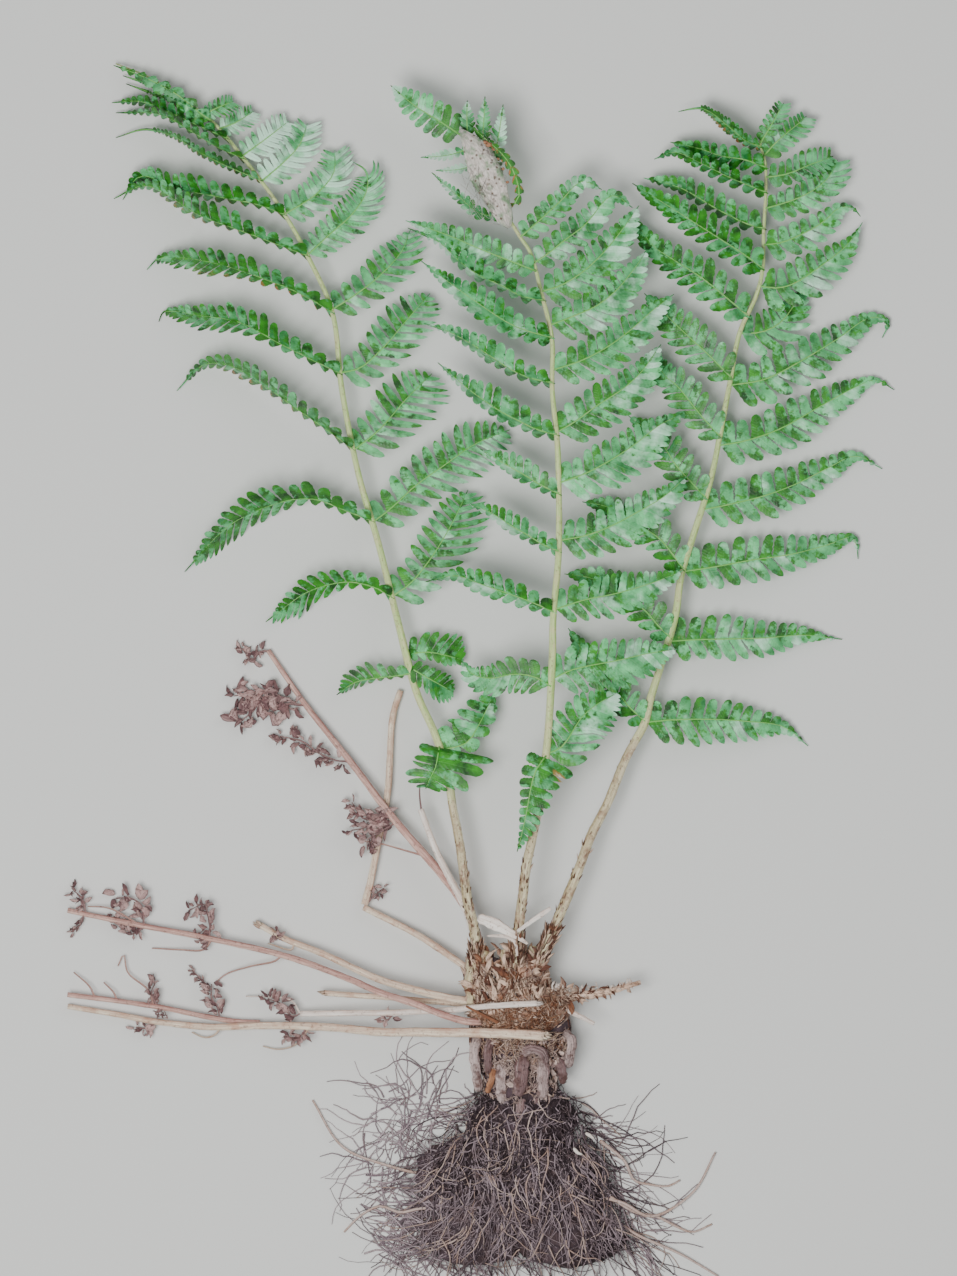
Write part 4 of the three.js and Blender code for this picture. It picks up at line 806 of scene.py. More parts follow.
test_place = on_arm(test_axis, 90, dict(hand=1, tilt=0), np.array([45]), np.array([10]), np.zeros(1))
print("half way along it and 10 to its left:", test_place.round(1).tolist())

# %% [markdown]
# ## One leaflet
#
# A leaflet is oblong, with a rounded or pointed tip, a shallow groove over its middle vein and
# small scallops along its edge. Copies of one modelled leaflet could be lined up, but real ones
# slant, sharpen and grow together along the arm. So each is a small grid worked out from its
# place: 11 rows from base to tip and 5 columns across the upper side, and one face a row
# underneath that shares the edge. All leaflets of one side of an arm are made at once.

# %% Outline and faces of a leaflet
ROW = np.array([0, 0.07, 0.16, 0.28, 0.4, 0.52, 0.64, 0.76, 0.87, 0.95, 1.0])[None, :, None]
COLUMN = np.linspace(-1, 1, 5)[None, None, :]
DOME = np.array([0.0, 0.2, 0.1, 0.2, 0.0])[None, None, :]
ROWS, COLUMNS = ROW.size, COLUMN.size
# One source for all random numbers, so that every run makes the same plant
random = np.random.default_rng(41)
draw = random.uniform


def leaflet_faces():
    """Upper faces, one face a row underneath from edge to edge, and both ends."""
    upper = grid_faces(ROWS, COLUMNS, False)
    edge = np.arange(ROWS) * COLUMNS
    under = np.stack([edge[:-1], edge[1:], edge[1:] + COLUMNS - 1, edge[:-1] + COLUMNS - 1], axis=1)
    ends = np.stack([np.arange(COLUMNS)[::-1], (ROWS - 1) * COLUMNS + np.arange(COLUMNS)])
    return upper, under, ends


def turned(faces):
    """The same faces with their corners in the other order, so that they face the other way."""
    return [face[:, ::-1] for face in faces]


def leaflet_width(sharp, full, web):
    """Half width from the rib to the tip, as a share of the pitch: a little over 1 at the rib,
    where the neighbours join, and full from the web's share of the way. It is mixed by sharp
    from a blunt end with round corners and a long oval with a narrow end. The edge is scalloped."""
    blunt = np.clip(1 - (np.clip(ROW - 0.66, 0, 1) / 0.345) ** 2.3, 0, 1) ** 0.5
    oval = np.clip(1.01 - ROW**4, 0, 1) ** 0.8 * (0.84 + 0.16 * np.sin(np.pi * np.clip(ROW, 0, 0.5)))
    scallop = 1 + 0.06 * np.cos(np.pi * np.arange(ROWS))[None, :, None] * (ROW > 0.1) * (ROW < 0.9)
    outline = full * (blunt + (oval - blunt) * sharp) * scallop
    return outline + (1.08 - full) * np.clip(1 - ROW / web, 0, 1)


print("faces of one leaflet:", sum(len(face) for face in leaflet_faces()))


# %% Shape the leaflets of one side of a leaf arm
def leaflets(axis, length, side, style, pale, reach_kind):
    """Grids of all leaflets of one side. The middle line leaves the rib at a slant and bends a
    little towards the tip; the width is laid square to it, but along the rib at the base:
    s = middle + slant * out + across * half width. Slant and sharpness grow along the arm.
    Before the inner place and past the fuse place neighbours grow together."""
    pairs = int(np.clip(round(style["pairs"][0] + length / style["pairs"][1]), 4, 20))
    even = np.linspace(0, 1, pairs + 1)
    start = side.get("start", min(1.2, 0.03 * length))
    edges = start + (style["stop"] * length - start) * (1.4 * even - 0.4 * even**2)
    pitch = np.diff(edges)[:, None, None]
    middle = (edges[:-1] + 0.5 * np.diff(edges))[:, None, None]
    share = np.clip(middle / length, 0, 1)
    reach = side["reach"] * arm_reach(share, style["reach"] or reach_kind)
    reach = reach * draw(1 - style["vary"], 1 + 0.8 * style["vary"], middle.shape)
    slant = style["lean"] + style["turn"] * share + draw(-0.07, 0.07, middle.shape)
    sharp = np.clip(style["sharp"] + style["sharper"] * share, 0, 1)
    fused = (np.clip((share - style["fuse"]) / 0.3, 0, 1)
             + np.clip((style["inner"] - share) / 0.3, 0, 1))
    full = (style["full"] * draw(0.93, 1.05, middle.shape)
            + style["grown"] * fused * (1 - 0.6 * ROW))
    half = 0.5 * pitch * leaflet_width(sharp, full, style["web"])
    size = 1 + slant**2
    square = np.clip(ROW / 0.3, 0, 1)
    s = middle + slant * reach * ROW * (0.8 + 0.2 * ROW) + COLUMN * half * (square / size + 1 - square)
    out = reach * ROW - COLUMN * half * slant / size * square
    twist = draw(-0.1, 0.1, middle.shape) + 0.06
    droop = draw(-0.02, 0.07, middle.shape)
    height = DOME * np.sqrt(np.clip(half / 2.6, 0, 1)) + COLUMN * half * twist * ROW ** 0.5
    height = height - droop * reach * ROW**2 + 0.12
    points = on_arm(axis, length, side, s, np.maximum(out, -0.3), height)
    points[..., 2] = np.maximum(points[..., 2], 0.1)
    faces = leaflet_faces()
    if side["hand"] < 0:
        faces = turned(faces)
    items, count = len(points), ROWS * COLUMNS
    # Tone: how milky a leaflet looks, partly its own colour and partly painted sheen, growing along the arm
    # with a random part
    tone = pale + style["whiter"] * share[:, :, 0] + draw(-0.2, 0.2, (items, 1))
    sori = np.clip(style["sori"] * side["dots"] * (1.5 - 1.9 * share[:, :, 0]), 0, 1)
    return repeated(points.reshape(items, count, 3), faces, tone=tone, sori=sori,
                    along=np.broadcast_to(ROW, s.shape).reshape(items, count),
                    across=np.broadcast_to(COLUMN, s.shape).reshape(items, count))


print("points of one leaflet:", ROWS * COLUMNS)

# %% [markdown]
# ## How the leaflets are cut
#
# The two sides of an arm differ: towards the frond's tip the leaflets stand nearly square to the
# rib, and on the other side they slant, sharpen and grow together. The left frond is cut finest,
# and the tips of the fronds are webbed. One cut for all would look stamped, and a list of every
# leaflet would be endless. So each kind of cut has a short list of numbers for each side: first
# the side towards the frond's tip, then the other one.

# %% What is noted for a cut
def style(lean, turn, sharp, sharper, fuse, full=0.88, pairs=(4, 8.5), whiter=0.0, sori=0.0,
          grown=0.5, vary=0.08, stop=0.965, inner=0.0, web=0.18, reach=None):
    """How the leaflets of one side are cut, from the base of the arm to its tip.

    lean and turn: slant at the base, and how much it grows. sharp and sharper: the same for the
    point of the tip. fuse, inner and grown: share of the arm past which and before which
    neighbours grow together, and how much. full: width as a share of the pitch. pairs: a number
    of pairs, and the millimetres for one pair more. whiter: how much the milky colour, partly its
    own and partly painted sheen, grows along the arm. sori: strength of the spore cases. vary:
    random part of the reach. stop: share of the arm that has leaflets. web: share of the reach over
    which neighbours join. reach: another kind of reach.
    """
    return dict(lean=lean, turn=turn, sharp=sharp, sharper=sharper, fuse=fuse, full=full,
                pairs=pairs, whiter=whiter, sori=sori, grown=grown, vary=vary, stop=stop,
                inner=inner, web=web, reach=reach)


print("numbers of a cut:", len(style(0, 0, 0, 0, 0)))

# %% Kinds of cut
CUTS = dict(
    rolled=(style(0.4, 0.4, 0.1, 0.3, 0.7, 0.86, pairs=(5, 7.5), vary=0.14, stop=0.93, inner=0.3,
                  web=0.25),
            style(0.7, 0.8, 0.3, 0.5, 0.65, 0.94, pairs=(5, 7.5), sori=1.0, vary=0.14, stop=0.93,
                  inner=0.35, web=0.4, reach="under")),
    thread=(style(0.8, 0.2, 0.3, 0.2, 0.0, 0.9, pairs=(7, 6), vary=0.2, stop=0.75, web=0.6),
            style(0.8, 0.2, 0.3, 0.2, 0.0, 0.9, pairs=(7, 6), vary=0.2, stop=0.75, web=0.6, sori=1.3)),
    close=(style(0.45, 0.2, 0.1, 0.2, 0.75, 0.96, pairs=(5, 8), whiter=0.2, vary=0.12),
           style(0.8, 0.2, 0.2, 0.3, 0.3, 1.0, pairs=(5, 8), whiter=0.5, grown=0.5, web=0.4)),
    fine=(style(0.1, 0.3, 0.6, 0.2, 0.85, 0.82, pairs=(4, 8)),
          style(0.5, 0.45, 0.8, 0.2, 0.8, 0.78, pairs=(4, 8), whiter=0.15, grown=0.6)),
    webbed=(style(0.15, 0.35, 0.4, 0.2, 0.85, 0.78, pairs=(5, 5.4), web=0.7),
            style(0.5, 0.4, 0.5, 0.3, 0.7, 0.88, pairs=(5, 5.4), whiter=0.2, web=0.6)),
    hooked=(style(0.15, 0.35, 0.4, 0.2, 0.85, 0.78, pairs=(5, 5.4), web=0.6, stop=0.8),
            style(0.5, 0.4, 0.5, 0.3, 0.7, 0.86, pairs=(5, 5.4), whiter=0.2, web=0.5, stop=0.8)),
    blunt=(style(0.3, 0.2, 0.1, 0.2, 0.7, 0.92, pairs=(5, 7), whiter=0.1),
           style(0.5, 0.6, 0.3, 0.6, 0.35, 0.94, pairs=(5, 7), whiter=0.4, grown=0.9)),
    square=(style(0.15, 0.3, 0.1, 0.4, 0.65, 0.86, pairs=(4, 8)),
            style(0.45, 0.65, 0.3, 0.8, 0.5, 0.92, pairs=(4, 8), whiter=0.3, grown=0.9)),
    broad=(style(-0.2, 0.1, 0.2, 0.1, 0.9, 0.95, pairs=(3, 12)),
           style(0.4, 0.3, 0.2, 0.3, 0.5, 0.9, pairs=(3, 12))),
    fan=(style(0.25, 0.2, 0.05, 0.1, 0.9, 0.86, pairs=(5, 7)),
         style(0.4, 0.5, 0.3, 0.3, 0.8, 0.95, pairs=(5, 8), whiter=0.2, inner=0.3)),
    saw=(style(0.7, 0.2, 0.5, 0.2, 0.0, 0.85, pairs=(5, 5), whiter=1.0, grown=0.25, web=0.6),
         style(0.7, 0.2, 0.5, 0.2, 0.0, 0.85, pairs=(5, 5), whiter=1.0, grown=0.25, web=0.6)),
    comb=(style(-0.3, 0.9, 0.1, 0.1, 0.9, 1.0, pairs=(3, 8), web=0.45, reach="late"),
          style(-0.07, 0.2, 0.2, 0.1, 0.9, 1.02, pairs=(3, 8), web=0.5)),
    plate=(style(0.1, 0.3, 0.1, 0.2, 0.9, 0.88, pairs=(6, 10), whiter=0.4),
           style(-0.25, 0.9, 0.3, 0.2, 0.9, 1.0, pairs=(6, 9), whiter=0.6, grown=0.3, inner=0.5,
                 web=0.45)),
    band=(style(1.0, 0.2, 0.2, 0.4, 0.0, 0.95, pairs=(4, 14), grown=0.8, vary=0.15),
          style(0.8, 0.2, 0.3, 0.2, 0.0, 0.95, pairs=(4, 14), grown=0.5)),
    fold=(style(0.5, 0.2, 0.2, 0.2, 0.0, 0.95, pairs=(8, 9), sori=3.0, grown=0.6, web=0.5),
          style(0.5, 0.2, 0.2, 0.2, 0.0, 0.95, pairs=(8, 9), sori=0.6, grown=0.6, web=0.5)),
    tip=(style(0.1, 0.35, 0.1, 0.2, 0.6, 0.9, pairs=(5, 9), whiter=0.9, grown=0.6),
         style(0.3, 0.35, 0.1, 0.2, 0.6, 0.92, pairs=(5, 9), whiter=0.9, grown=0.6)),
    behind=(style(0.4, 0.2, 0.3, 0.2, 0.6, 0.88, pairs=(4, 8), grown=0.7),
            style(0.7, 0.3, 0.5, 0.4, 0.5, 0.92, pairs=(4, 8), grown=0.8)),
)
REACH_OF_CUT = dict(band="tailed", comb="comb", fan="fan", fold="rolled", hooked="hand",
                    plate="foot", thread="tailed", webbed="fan")
print("kinds of cut:", ", ".join(CUTS))

# %% [markdown]
# ## A whole frond
#
# Each leaf arm gets its leaflets, a thin rib over them, and a narrow tip, and the midrib carries
# them all. Leaflets and ribs could be one piece. They are two, because the leaflets have crisp
# edges and their own finish.

# %% Build the three fronds
# Places where an arm can start, rings of the midrib, and the part of an arm that has a rib
SEATS = 401
MIDRIB_PLACES = 150
RIB_PART = slice(0, 152, 10)


def frond_pieces(name, table, left_cut, right_cut, left_reach, right_reach, pale):
    """The leaflets of a frond as one piece, and its midrib and the arms' ribs as another."""
    midrib = smooth_path(table["midrib"], SEATS)
    green, ribs = [], []
    for hand, key, cut in ((-1, "left", left_cut), (1, "right", right_cut)):
        for spec in table[key]:
            reach_kind = left_reach if hand < 0 and not spec.get("flat") else right_reach
            reach_kind = REACH_OF_CUT.get(spec.get("cut"), reach_kind)
            axis, length, sides = arm_axis(midrib, hand, spec, table[key + "_end_z"], reach_kind)
            cuts = CUTS[spec.get("cut", "blunt" if spec.get("flat") else cut)]
            # How milky an arm looks: partly its own colour and partly painted sheen
            tone = spec.get("pale", pale[0] if hand < 0 and not spec.get("flat") else pale[1])
            for side, side_cut in zip(sides, cuts):
                green.append((leaflets(axis, length, side, side_cut, tone, reach_kind), 0))
            steps = int(np.clip(length / 4, 8, 24))
            course = smooth_path(axis[RIB_PART], steps)
            course[:, 2] += 0.15
            ribs.append((tube(course, np.linspace(0.5, 0.2, steps), 6, 0.9, tone=0.4), 1))
            last = ARM_PLACES - 1
            first = last * min(cuts[0]["stop"] - 0.02, 0.85)
            tip = smooth_path(axis[np.linspace(first, last, 7).astype(int)], 9)
            green.append((tube(tip, np.linspace(0.75, 0.2, 9), 6, 0.5, tone=tone), 0))
    course = smooth_path(table["midrib"], MIDRIB_PLACES)
    share = np.linspace(0, 1, MIDRIB_PLACES)
    thick = (2.1 - 1.4 * share - 0.3 * share**6) * (1 + 0.03 * np.sin(40 * share))
    ribs.append((tube(course, thick, 12, 1.0, tone=0.2), 0))
    make_piece(name + "_leaflets", green, [LEAF], replaces=[name], crisp=True)
    make_piece(name + "_ribs", ribs, [RIB, COSTA])


frond_pieces("left_frond", LEFT_FROND, "rolled", "fine", "rolled", "late", (0.26, 0.38))
frond_pieces("middle_frond", MIDDLE_FROND, "close", "blunt", "waist", "even", (0.36, 0.38))
frond_pieces("right_frond", RIGHT_FROND, "behind", "square", "even", "tailed", (0.3, 0.36))

# %% [markdown]
# ## Thin scales
#
# Papery scales cover the crown and stand out of the lower stalks. Each is a thin pointed strip,
# slightly arched. Copies of one scale could be scattered over the crown, but they would all be
# alike. So hundreds of strips are worked out together from the places of their feet and tips,
# which also sets where each one points.

# %% Shape many thin scales at once
def scales(feet, tips, width, arch, tone):
    """Strips from foot to tip: straight line + arch * sin(pi u) upwards, and a half width of
    sin(pi u**0.6) to the power 0.8. Three columns on top and one face a row underneath."""
    feet, tips = np.asarray(feet, float), np.asarray(tips, float)
    count = len(feet)
    u = np.linspace(0, 1, 6)[None, :, None]
    v = np.array([-1.0, 0.0, 1.0])[None, None, :]
    course = tips - feet
    across = unit(np.cross(UP, course))
    rise = unit(np.cross(course, across))
    half = np.reshape(np.broadcast_to(width, count), (count, 1, 1)) * 0.5
    half = half * (0.12 + 0.88 * np.sin(np.pi * np.clip(u, 0.02, 0.995) ** 0.6) ** 0.8)
    lift = np.reshape(np.broadcast_to(arch, count), (count, 1, 1)) * np.sin(np.pi * u)
    lift = lift + (1 - np.abs(v)) * half * 0.35
    points = (feet[:, None, None] + u[..., None] * course[:, None, None]
              + (half * v)[..., None] * across[:, None, None] + lift[..., None] * rise[:, None, None])
    edge = np.arange(6) * 3
    under = np.stack([edge[:-1], edge[:-1] + 2, edge[1:] + 2, edge[1:]], axis=1)[:, ::-1]
    ends = np.stack([[2, 1, 0], [15, 16, 17]])
    faces = [grid_faces(6, 3, False), under, ends]
    shape_of = (count, 18)
    return repeated(points.reshape(count, 18, 3), turned(faces),
                    along=np.broadcast_to(20 * u, (count, 6, 3)).reshape(shape_of),
                    across=np.broadcast_to(v, (count, 6, 3)).reshape(shape_of),
                    tone=np.reshape(np.broadcast_to(tone, count), (count, 1)))


print("faces of one scale:", sum(len(f) for f in scales([[0, 0, 0]], [[9, 0, 0]], 3, 1, 0)["faces"]))


# %% Set scales on a stalk
def along_course(course, share):
    """Places at the given shares of a course, and its direction there."""
    way = np.linspace(0, 1, len(course))
    place = np.stack([np.interp(share, way, column) for column in course.T], axis=1)
    heading = np.stack([np.interp(share, way, column) for column in directions(course)[0].T], axis=1)
    return place, heading


def stalk_scales(course, radius, count, low, high, length):
    """Scales that stand out of the upper half of a stalk between two shares of its course. They
    are denser at the first one."""
    share = low + (high - low) * draw(0, 1, count) ** 1.6
    place, heading = along_course(course, share)
    angle = draw(0.0, np.pi, count)[:, None]
    outward = np.cos(angle) * unit(np.cross(UP, heading)) + np.sin(angle) * UP
    long = draw(0.5, 1.0, count)[:, None] * length
    feet = place + outward * radius * 0.85
    tips = feet + heading * long + outward * long * draw(0.0, 0.55, count)[:, None]
    return scales(feet, tips, long[:, 0] * draw(0.16, 0.3, count), 0.3, draw(0, 1, count))


print("half way along the test path:", along_course(test_path, np.array([0.5]))[0].round(1).tolist())

# %% [markdown]
# ## Thin wires
#
# Fine roots and the fibres on the rhizome are thousands of thin wires. Blender can grow hair, but
# hair is no closed surface and can't be exported as one. Here each wire is a tube of three or four
# sides along a random walk, which lies on the rounded bodies below it or runs round their side.

# %% Find the height of the bodies below
OUTSIDE = -99.0


def height_on(balls, x, y, elsewhere=0.0):
    """Height of the highest ellipsoid above each place: centre + radius * sqrt(1 - distance
    squared), and the elsewhere value outside all of them."""
    height = np.full(np.shape(x), elsewhere)
    for centre, radii in balls:
        inside = 1 - ((x - centre[0]) / radii[0]) ** 2 - ((y - centre[1]) / radii[1]) ** 2
        top = centre[2] + radii[2] * np.sqrt(np.maximum(inside, 0))
        height = np.where(inside > 0, np.maximum(height, top), height)
    return height


test_ball = ([0, 0, 0], [5, 5, 5])
print("height on a ball of radius 5, 3 from its middle:", float(height_on([test_ball], 3.0, 0.0)))


# %% Shape thin tubes round many paths at once
def wire_tubes(path, thick, step, sides, outward=UP):
    """Thin tubes round a stack of paths (wires by places by 3), which narrow to their ends: path
    + radius * (cos a * left + sin a * rise), where left is outward crossed with along."""
    count, rows = path.shape[:2]
    along = unit(np.gradient(path, axis=1))
    left = unit(np.cross(outward, along))
    rise = np.cross(along, left)
    angle = 2 * np.pi * np.arange(sides) / sides
    radius = (thick * np.linspace(1, 0.45, rows))[..., None]
    points = (path[:, :, None] + (radius * np.cos(angle))[..., None] * left[:, :, None]
              + (radius * np.sin(angle))[..., None] * rise[:, :, None])
    caps = np.stack([np.arange(sides)[::-1], (rows - 1) * sides + np.arange(sides)])
    size = (count, rows, sides)
    way = np.broadcast_to((step * np.arange(rows))[..., None], size)
    return repeated(points.reshape(count, rows * sides, 3), [grid_faces(rows, sides, True), caps],
                    along=way.reshape(count, -1),
                    across=np.broadcast_to(np.cos(angle), size).reshape(count, -1),
                    tone=draw(0, 1, (count, 1)))


print("faces of a wire of 10 rings:", len(grid_faces(10, 4, True)) + 2)


# %% Let wires wander over the bodies
def wires(x, y, heading, long, thick, wander, over, level, area, rows=10, sides=4, stay=False):
    """Many wires at once. Each starts at a place with a heading; the heading bends evenly and
    turns by a small random walk, and the wire follows it. Its height is a share of the height of
    the balls it lies over, plus a wave, and each inner place takes the mean of itself and its two
    neighbours. The area gives the limits in x, y and z. With stay, a wire that would leave the
    balls is left out."""
    count = len(x)
    long, thick = draw(*long, (count, 1)), draw(*thick, (count, 1))
    bend = random.normal(0, 2.2 * wander, (count, 1)) * np.linspace(0, 1, rows)
    turn = heading[:, None] + bend + np.cumsum(random.normal(0, wander, (count, rows)), axis=1)
    step = long / (rows - 1)
    x = x[:, None] + np.cumsum(step * np.cos(turn), axis=1)
    y = y[:, None] + np.cumsum(step * np.sin(turn), axis=1)
    wave = np.sin(np.linspace(0, 7, rows)[None] + draw(0, 6.28, (count, 1)))
    height = height_on(over, x, y) * draw(*level, (count, 1)) + 0.7 * wave + 0.8
    height[:, 1:-1] = (height[:, :-2] + height[:, 1:-1] + height[:, 2:]) / 3
    height = np.clip(height, thick + 0.1, area[4])
    inside = ((x > area[0]) & (x < area[1]) & (y > area[2]) & (y < area[3])).all(axis=1)
    if stay:
        inside = inside & (height_on(over, x, y, OUTSIDE) > OUTSIDE).all(axis=1)
    return wire_tubes(np.stack([x, y, height], axis=-1)[inside], thick[inside], step[inside], sides)


def any_heading(count):
    """A random direction for each wire."""
    return draw(0, 2 * np.pi, count)


print("faces of a short wire:", len(grid_faces(5, 3, True)) + 2)


# %% Lead wires round the side of a body
def flank_wires(ball, count, thick, limits, rows=7, sides=3):
    """Wires that run round the side of a ball and down: centre + radii * direction * 1.02, where
    the direction turns by a random part and dips from above the waist to below it."""
    centre, radii = np.array(ball[0], float), np.array(ball[1], float)
    share = np.linspace(0, 1, rows)
    turn = draw(0, 2 * np.pi, (count, 1)) + random.normal(0, 0.25, (count, 1)) * share
    dip = draw(-0.5, 0.9, (count, 1)) + draw(-0.1, 0.45, (count, 1)) * share
    dip = dip + random.normal(0, 0.03, (count, rows))
    outward = np.stack([np.cos(dip) * np.cos(turn), np.cos(dip) * np.sin(turn), -np.sin(dip)], axis=-1)
    path = centre + radii * outward * draw(0.99, 1.04, (count, 1, 1))
    path[..., 2] = np.maximum(path[..., 2], 0.7)
    inside = ((path[..., 1] > limits[0]) & (path[..., 1] < limits[1])).all(axis=1)
    thick = draw(*thick, (count, 1))
    return wire_tubes(path[inside], thick[inside], np.full((inside.sum(), 1), 1.5), sides, outward[inside])


print("faces of a wire of 7 rings:", len(grid_faces(7, 3, True)) + 2)

# %% [markdown]
# ## Crumpled flakes
#
# Dead leaf and torn skin are thin brittle sheets, crumpled in all directions. A cloth simulation
# could crumple each of them, but it would take long for hundreds. Small closed grids with a bent
# middle line, a wave and random steps look the same at this size.

# %% Shape many crumpled flakes at once
def sheet_faces(rows, columns):
    """A thin closed sheet: the upper grid, the lower grid turned over, and the border between."""
    upper, count = grid_faces(rows, columns, False), rows * columns
    row, column = np.arange(rows) * columns, np.arange(columns)
    loop = np.concatenate([column[:-1], row[:-1] + columns - 1, row[-1] + column[:0:-1], row[:0:-1]])
    following = np.roll(loop, -1)
    border = np.stack([loop, loop + count, following + count, following], axis=1)
    return [upper, upper[:, ::-1] + count, border]


def flakes(place, heading, long, wide, crumple, tone):
    """Crumpled thin sheets, 5 rows by 4 columns. The middle line bends evenly by a random angle,
    the half width follows a short list of shares times a random raggedness, and the height is a
    slope plus a wave across plus small random steps."""
    count = len(place)
    u, v = np.linspace(0, 1, 5), np.linspace(-1, 1, 4)[None, None, :]
    turn = heading[:, None] + draw(-1.9, 1.9, (count, 1)) * u
    step = (long / 4)[:, None]
    x = place[:, :1] + np.cumsum(step * np.cos(turn), axis=1)
    y = place[:, 1:2] + np.cumsum(step * np.sin(turn), axis=1)
    shares = np.array([0.35, 0.9, 1.0, 0.7, 0.12]) * draw(0.55, 1.3, (count, 5))
    across = v * 0.5 * wide[:, None, None] * shares[..., None]
    across = across * draw(0.8, 1.2, (count, 5, 4))
    wave = crumple * np.sin(3.4 * v + draw(0, 6.28, (count, 1, 1)) + 5 * u[None, :, None])
    rise = draw(-0.8, 1.8, (count, 1)) * u
    steps = random.normal(0, 0.35 * crumple, (count, 5, 4))
    level = place[:, 2:3, None] + rise[..., None] + wave + steps
    upper = np.stack([x[..., None] + across * np.sin(turn)[..., None],
                      y[..., None] - across * np.cos(turn)[..., None],
                      np.maximum(level, 0.5)], axis=-1)
    points = np.concatenate([upper, upper - [0, 0, 0.3]], axis=1).reshape(count, 40, 3)
    return repeated(points, sheet_faces(5, 4), along=np.repeat(np.tile(6 * u, 2), 4)[None],
                    across=np.tile(v.reshape(-1), 10)[None], tone=np.reshape(tone, (count, 1)))


print("faces of a flake:", sum(len(face) for face in sheet_faces(5, 4)))

# %% [markdown]
# ## Stalks of the fronds
#
# Three straw-coloured stalks rise from the crown. They are a little uneven, thicker and scaly at
# the foot, and dotted with the marks of lost scales. Plain cylinders would look turned on a lathe,
# so each tube gets a radius that wavers on every side, and thin scales that stand out of it. Each
# ends just inside the start of its frond's midrib.

# %% Build the three living stalks
STIPES = dict(
    left_stipe=[[-21.5, 30, 22.5], [-22, 43, 26], [-23, 57, 26.5], [-26, 69, 25.5], [-28, 83, 24],
                [-30, 98, 22.5], [-33.6, 117, 21]],
    middle_stipe=[[-3, 33, 25], [-1.7, 46, 30.5], [0, 64.3, 33], [1.5, 74.5, 34], [3, 87.8, 35.5],
                  [6.5, 104, 37], [10.1, 121, 38]],
    right_stipe=[[6, 34, 22.5], [11.5, 46, 26.5], [16.8, 57, 26.5], [29, 85.7, 24],
                 [35, 102, 22], [43.3, 118.4, 20.5], [52.5, 140.8, 19.5], [57.2, 149.4, 19]],
)


def wavering(length, rows, amount, sides=1):
    """Uneven thickness: 1 plus a sum of three sine waves of random phase along the stalk."""
    way = np.linspace(0, length, rows)[:, None]
    phase = draw(0, 2 * np.pi, (3, sides))
    waves = sum(np.sin(way * rate + phase[i]) for i, rate in enumerate((0.21, 0.57, 1.3)))
    return 1 + amount * waves


RIB_STARTS = dict(left_stipe=LEFT_FROND, middle_stipe=MIDDLE_FROND, right_stipe=RIGHT_FROND)
for name, route in STIPES.items():
    joint = np.array(RIB_STARTS[name]["midrib"][:2], float)
    course = smooth_path(np.vstack([route[:-1], joint[0], joint[0] + 0.2 * (joint[1] - joint[0])]), 90)
    share = np.linspace(0, 1, 90)[:, None]
    thick = 2.75 - 0.65 * share + 1.0 * np.clip(1 - share / 0.16, 0, 1)
    thick = thick * wavering(path_length(course), 90, 0.02, 12)
    parts = [(tube(course, thick, 12, tone=0.5), 0),
             (stalk_scales(course, 3.3, 150, 0.0, 0.2, 6.0), 1),
             (stalk_scales(course, 2.7, 90, 0.08, 0.6, 3.4), 1),
             (stalk_scales(course, 2.3, 30, 0.3, 0.97, 2.2), 1)]
    make_piece(name + "_stalk", parts, [STIPE, RUST], replaces=[name])

# %% [markdown]
# ## Dead stalks
#
# On the left lie nine dead stalks, brown or straw coloured, with the shrivelled remains of their
# leaf arms (curls, each with its width) and bare ribs (ribs). A simulation could drop them in a
# heap, but then they wouldn't lie as in the photograph. So each point of their courses is
# measured there, and its height follows from which stalk lies on which. Torn names the ends that
# are frayed, and radii are those of the far end and of the end near the crown.

# %% Courses of the upper dead stalks
DEAD_STALKS = {}
DEAD_STALKS["dead_stalk_1"] = dict(
    finish="dead", radii=(1.2, 2.5),
    route=[[-125.8, 194.8, 3], [-108, 168.8, 5], [-84, 138.4, 8], [-62.4, 110, 11.5], [-40.7, 85, 13.5],
           [-29, 70, 14.5], [-22.6, 56, 15], [-19.5, 40, 15]],
    curls=[
        ([[-125.5, 194.4, 3], [-130, 194, 3.5], [-134, 190, 4], [-139, 196, 3]], 3),
        ([[-106.5, 167, 5], [-116, 168, 6], [-123, 165, 5], [-131, 173, 5], [-143, 172, 3]], 5),
        ([[-112, 168.3, 5.5], [-128, 174, 5.5], [-133, 165, 5], [-140, 159, 4]], 5.5),
        ([[-84.5, 139, 8], [-92, 140, 8], [-100, 143, 6], [-108, 149, 5], [-120, 152, 3]], 4),
        ([[-62.5, 110, 11.5], [-68, 113, 12], [-76, 107, 11], [-84, 105, 9]], 4),
        ([[-63, 110.5, 11.5], [-72, 113, 12.5], [-78, 111, 10], [-84, 119, 6]], 3.4),
        ([[-62, 109, 11.5], [-70, 104, 12], [-76, 100, 10], [-76, 95, 8]], 4),
    ],
    ribs=[[[-46.5, 92, 13], [-57, 95, 12], [-70, 98.5, 9.5], [-81, 100, 7]]],
)
DEAD_STALKS["dead_stalk_2"] = dict(
    finish="bone", radii=(1.5, 2.1), dark_ribs=True,
    route=[[-49.6, 115.6, 15], [-41.8, 95, 17.5], [-33.8, 79, 18.5], [-28.4, 69, 18.2], [-24, 57, 18.5],
           [-20, 38, 19.5]],
    ribs=[[[-49, 114, 15.2], [-50, 122, 15.5], [-50, 128, 15]]],
)
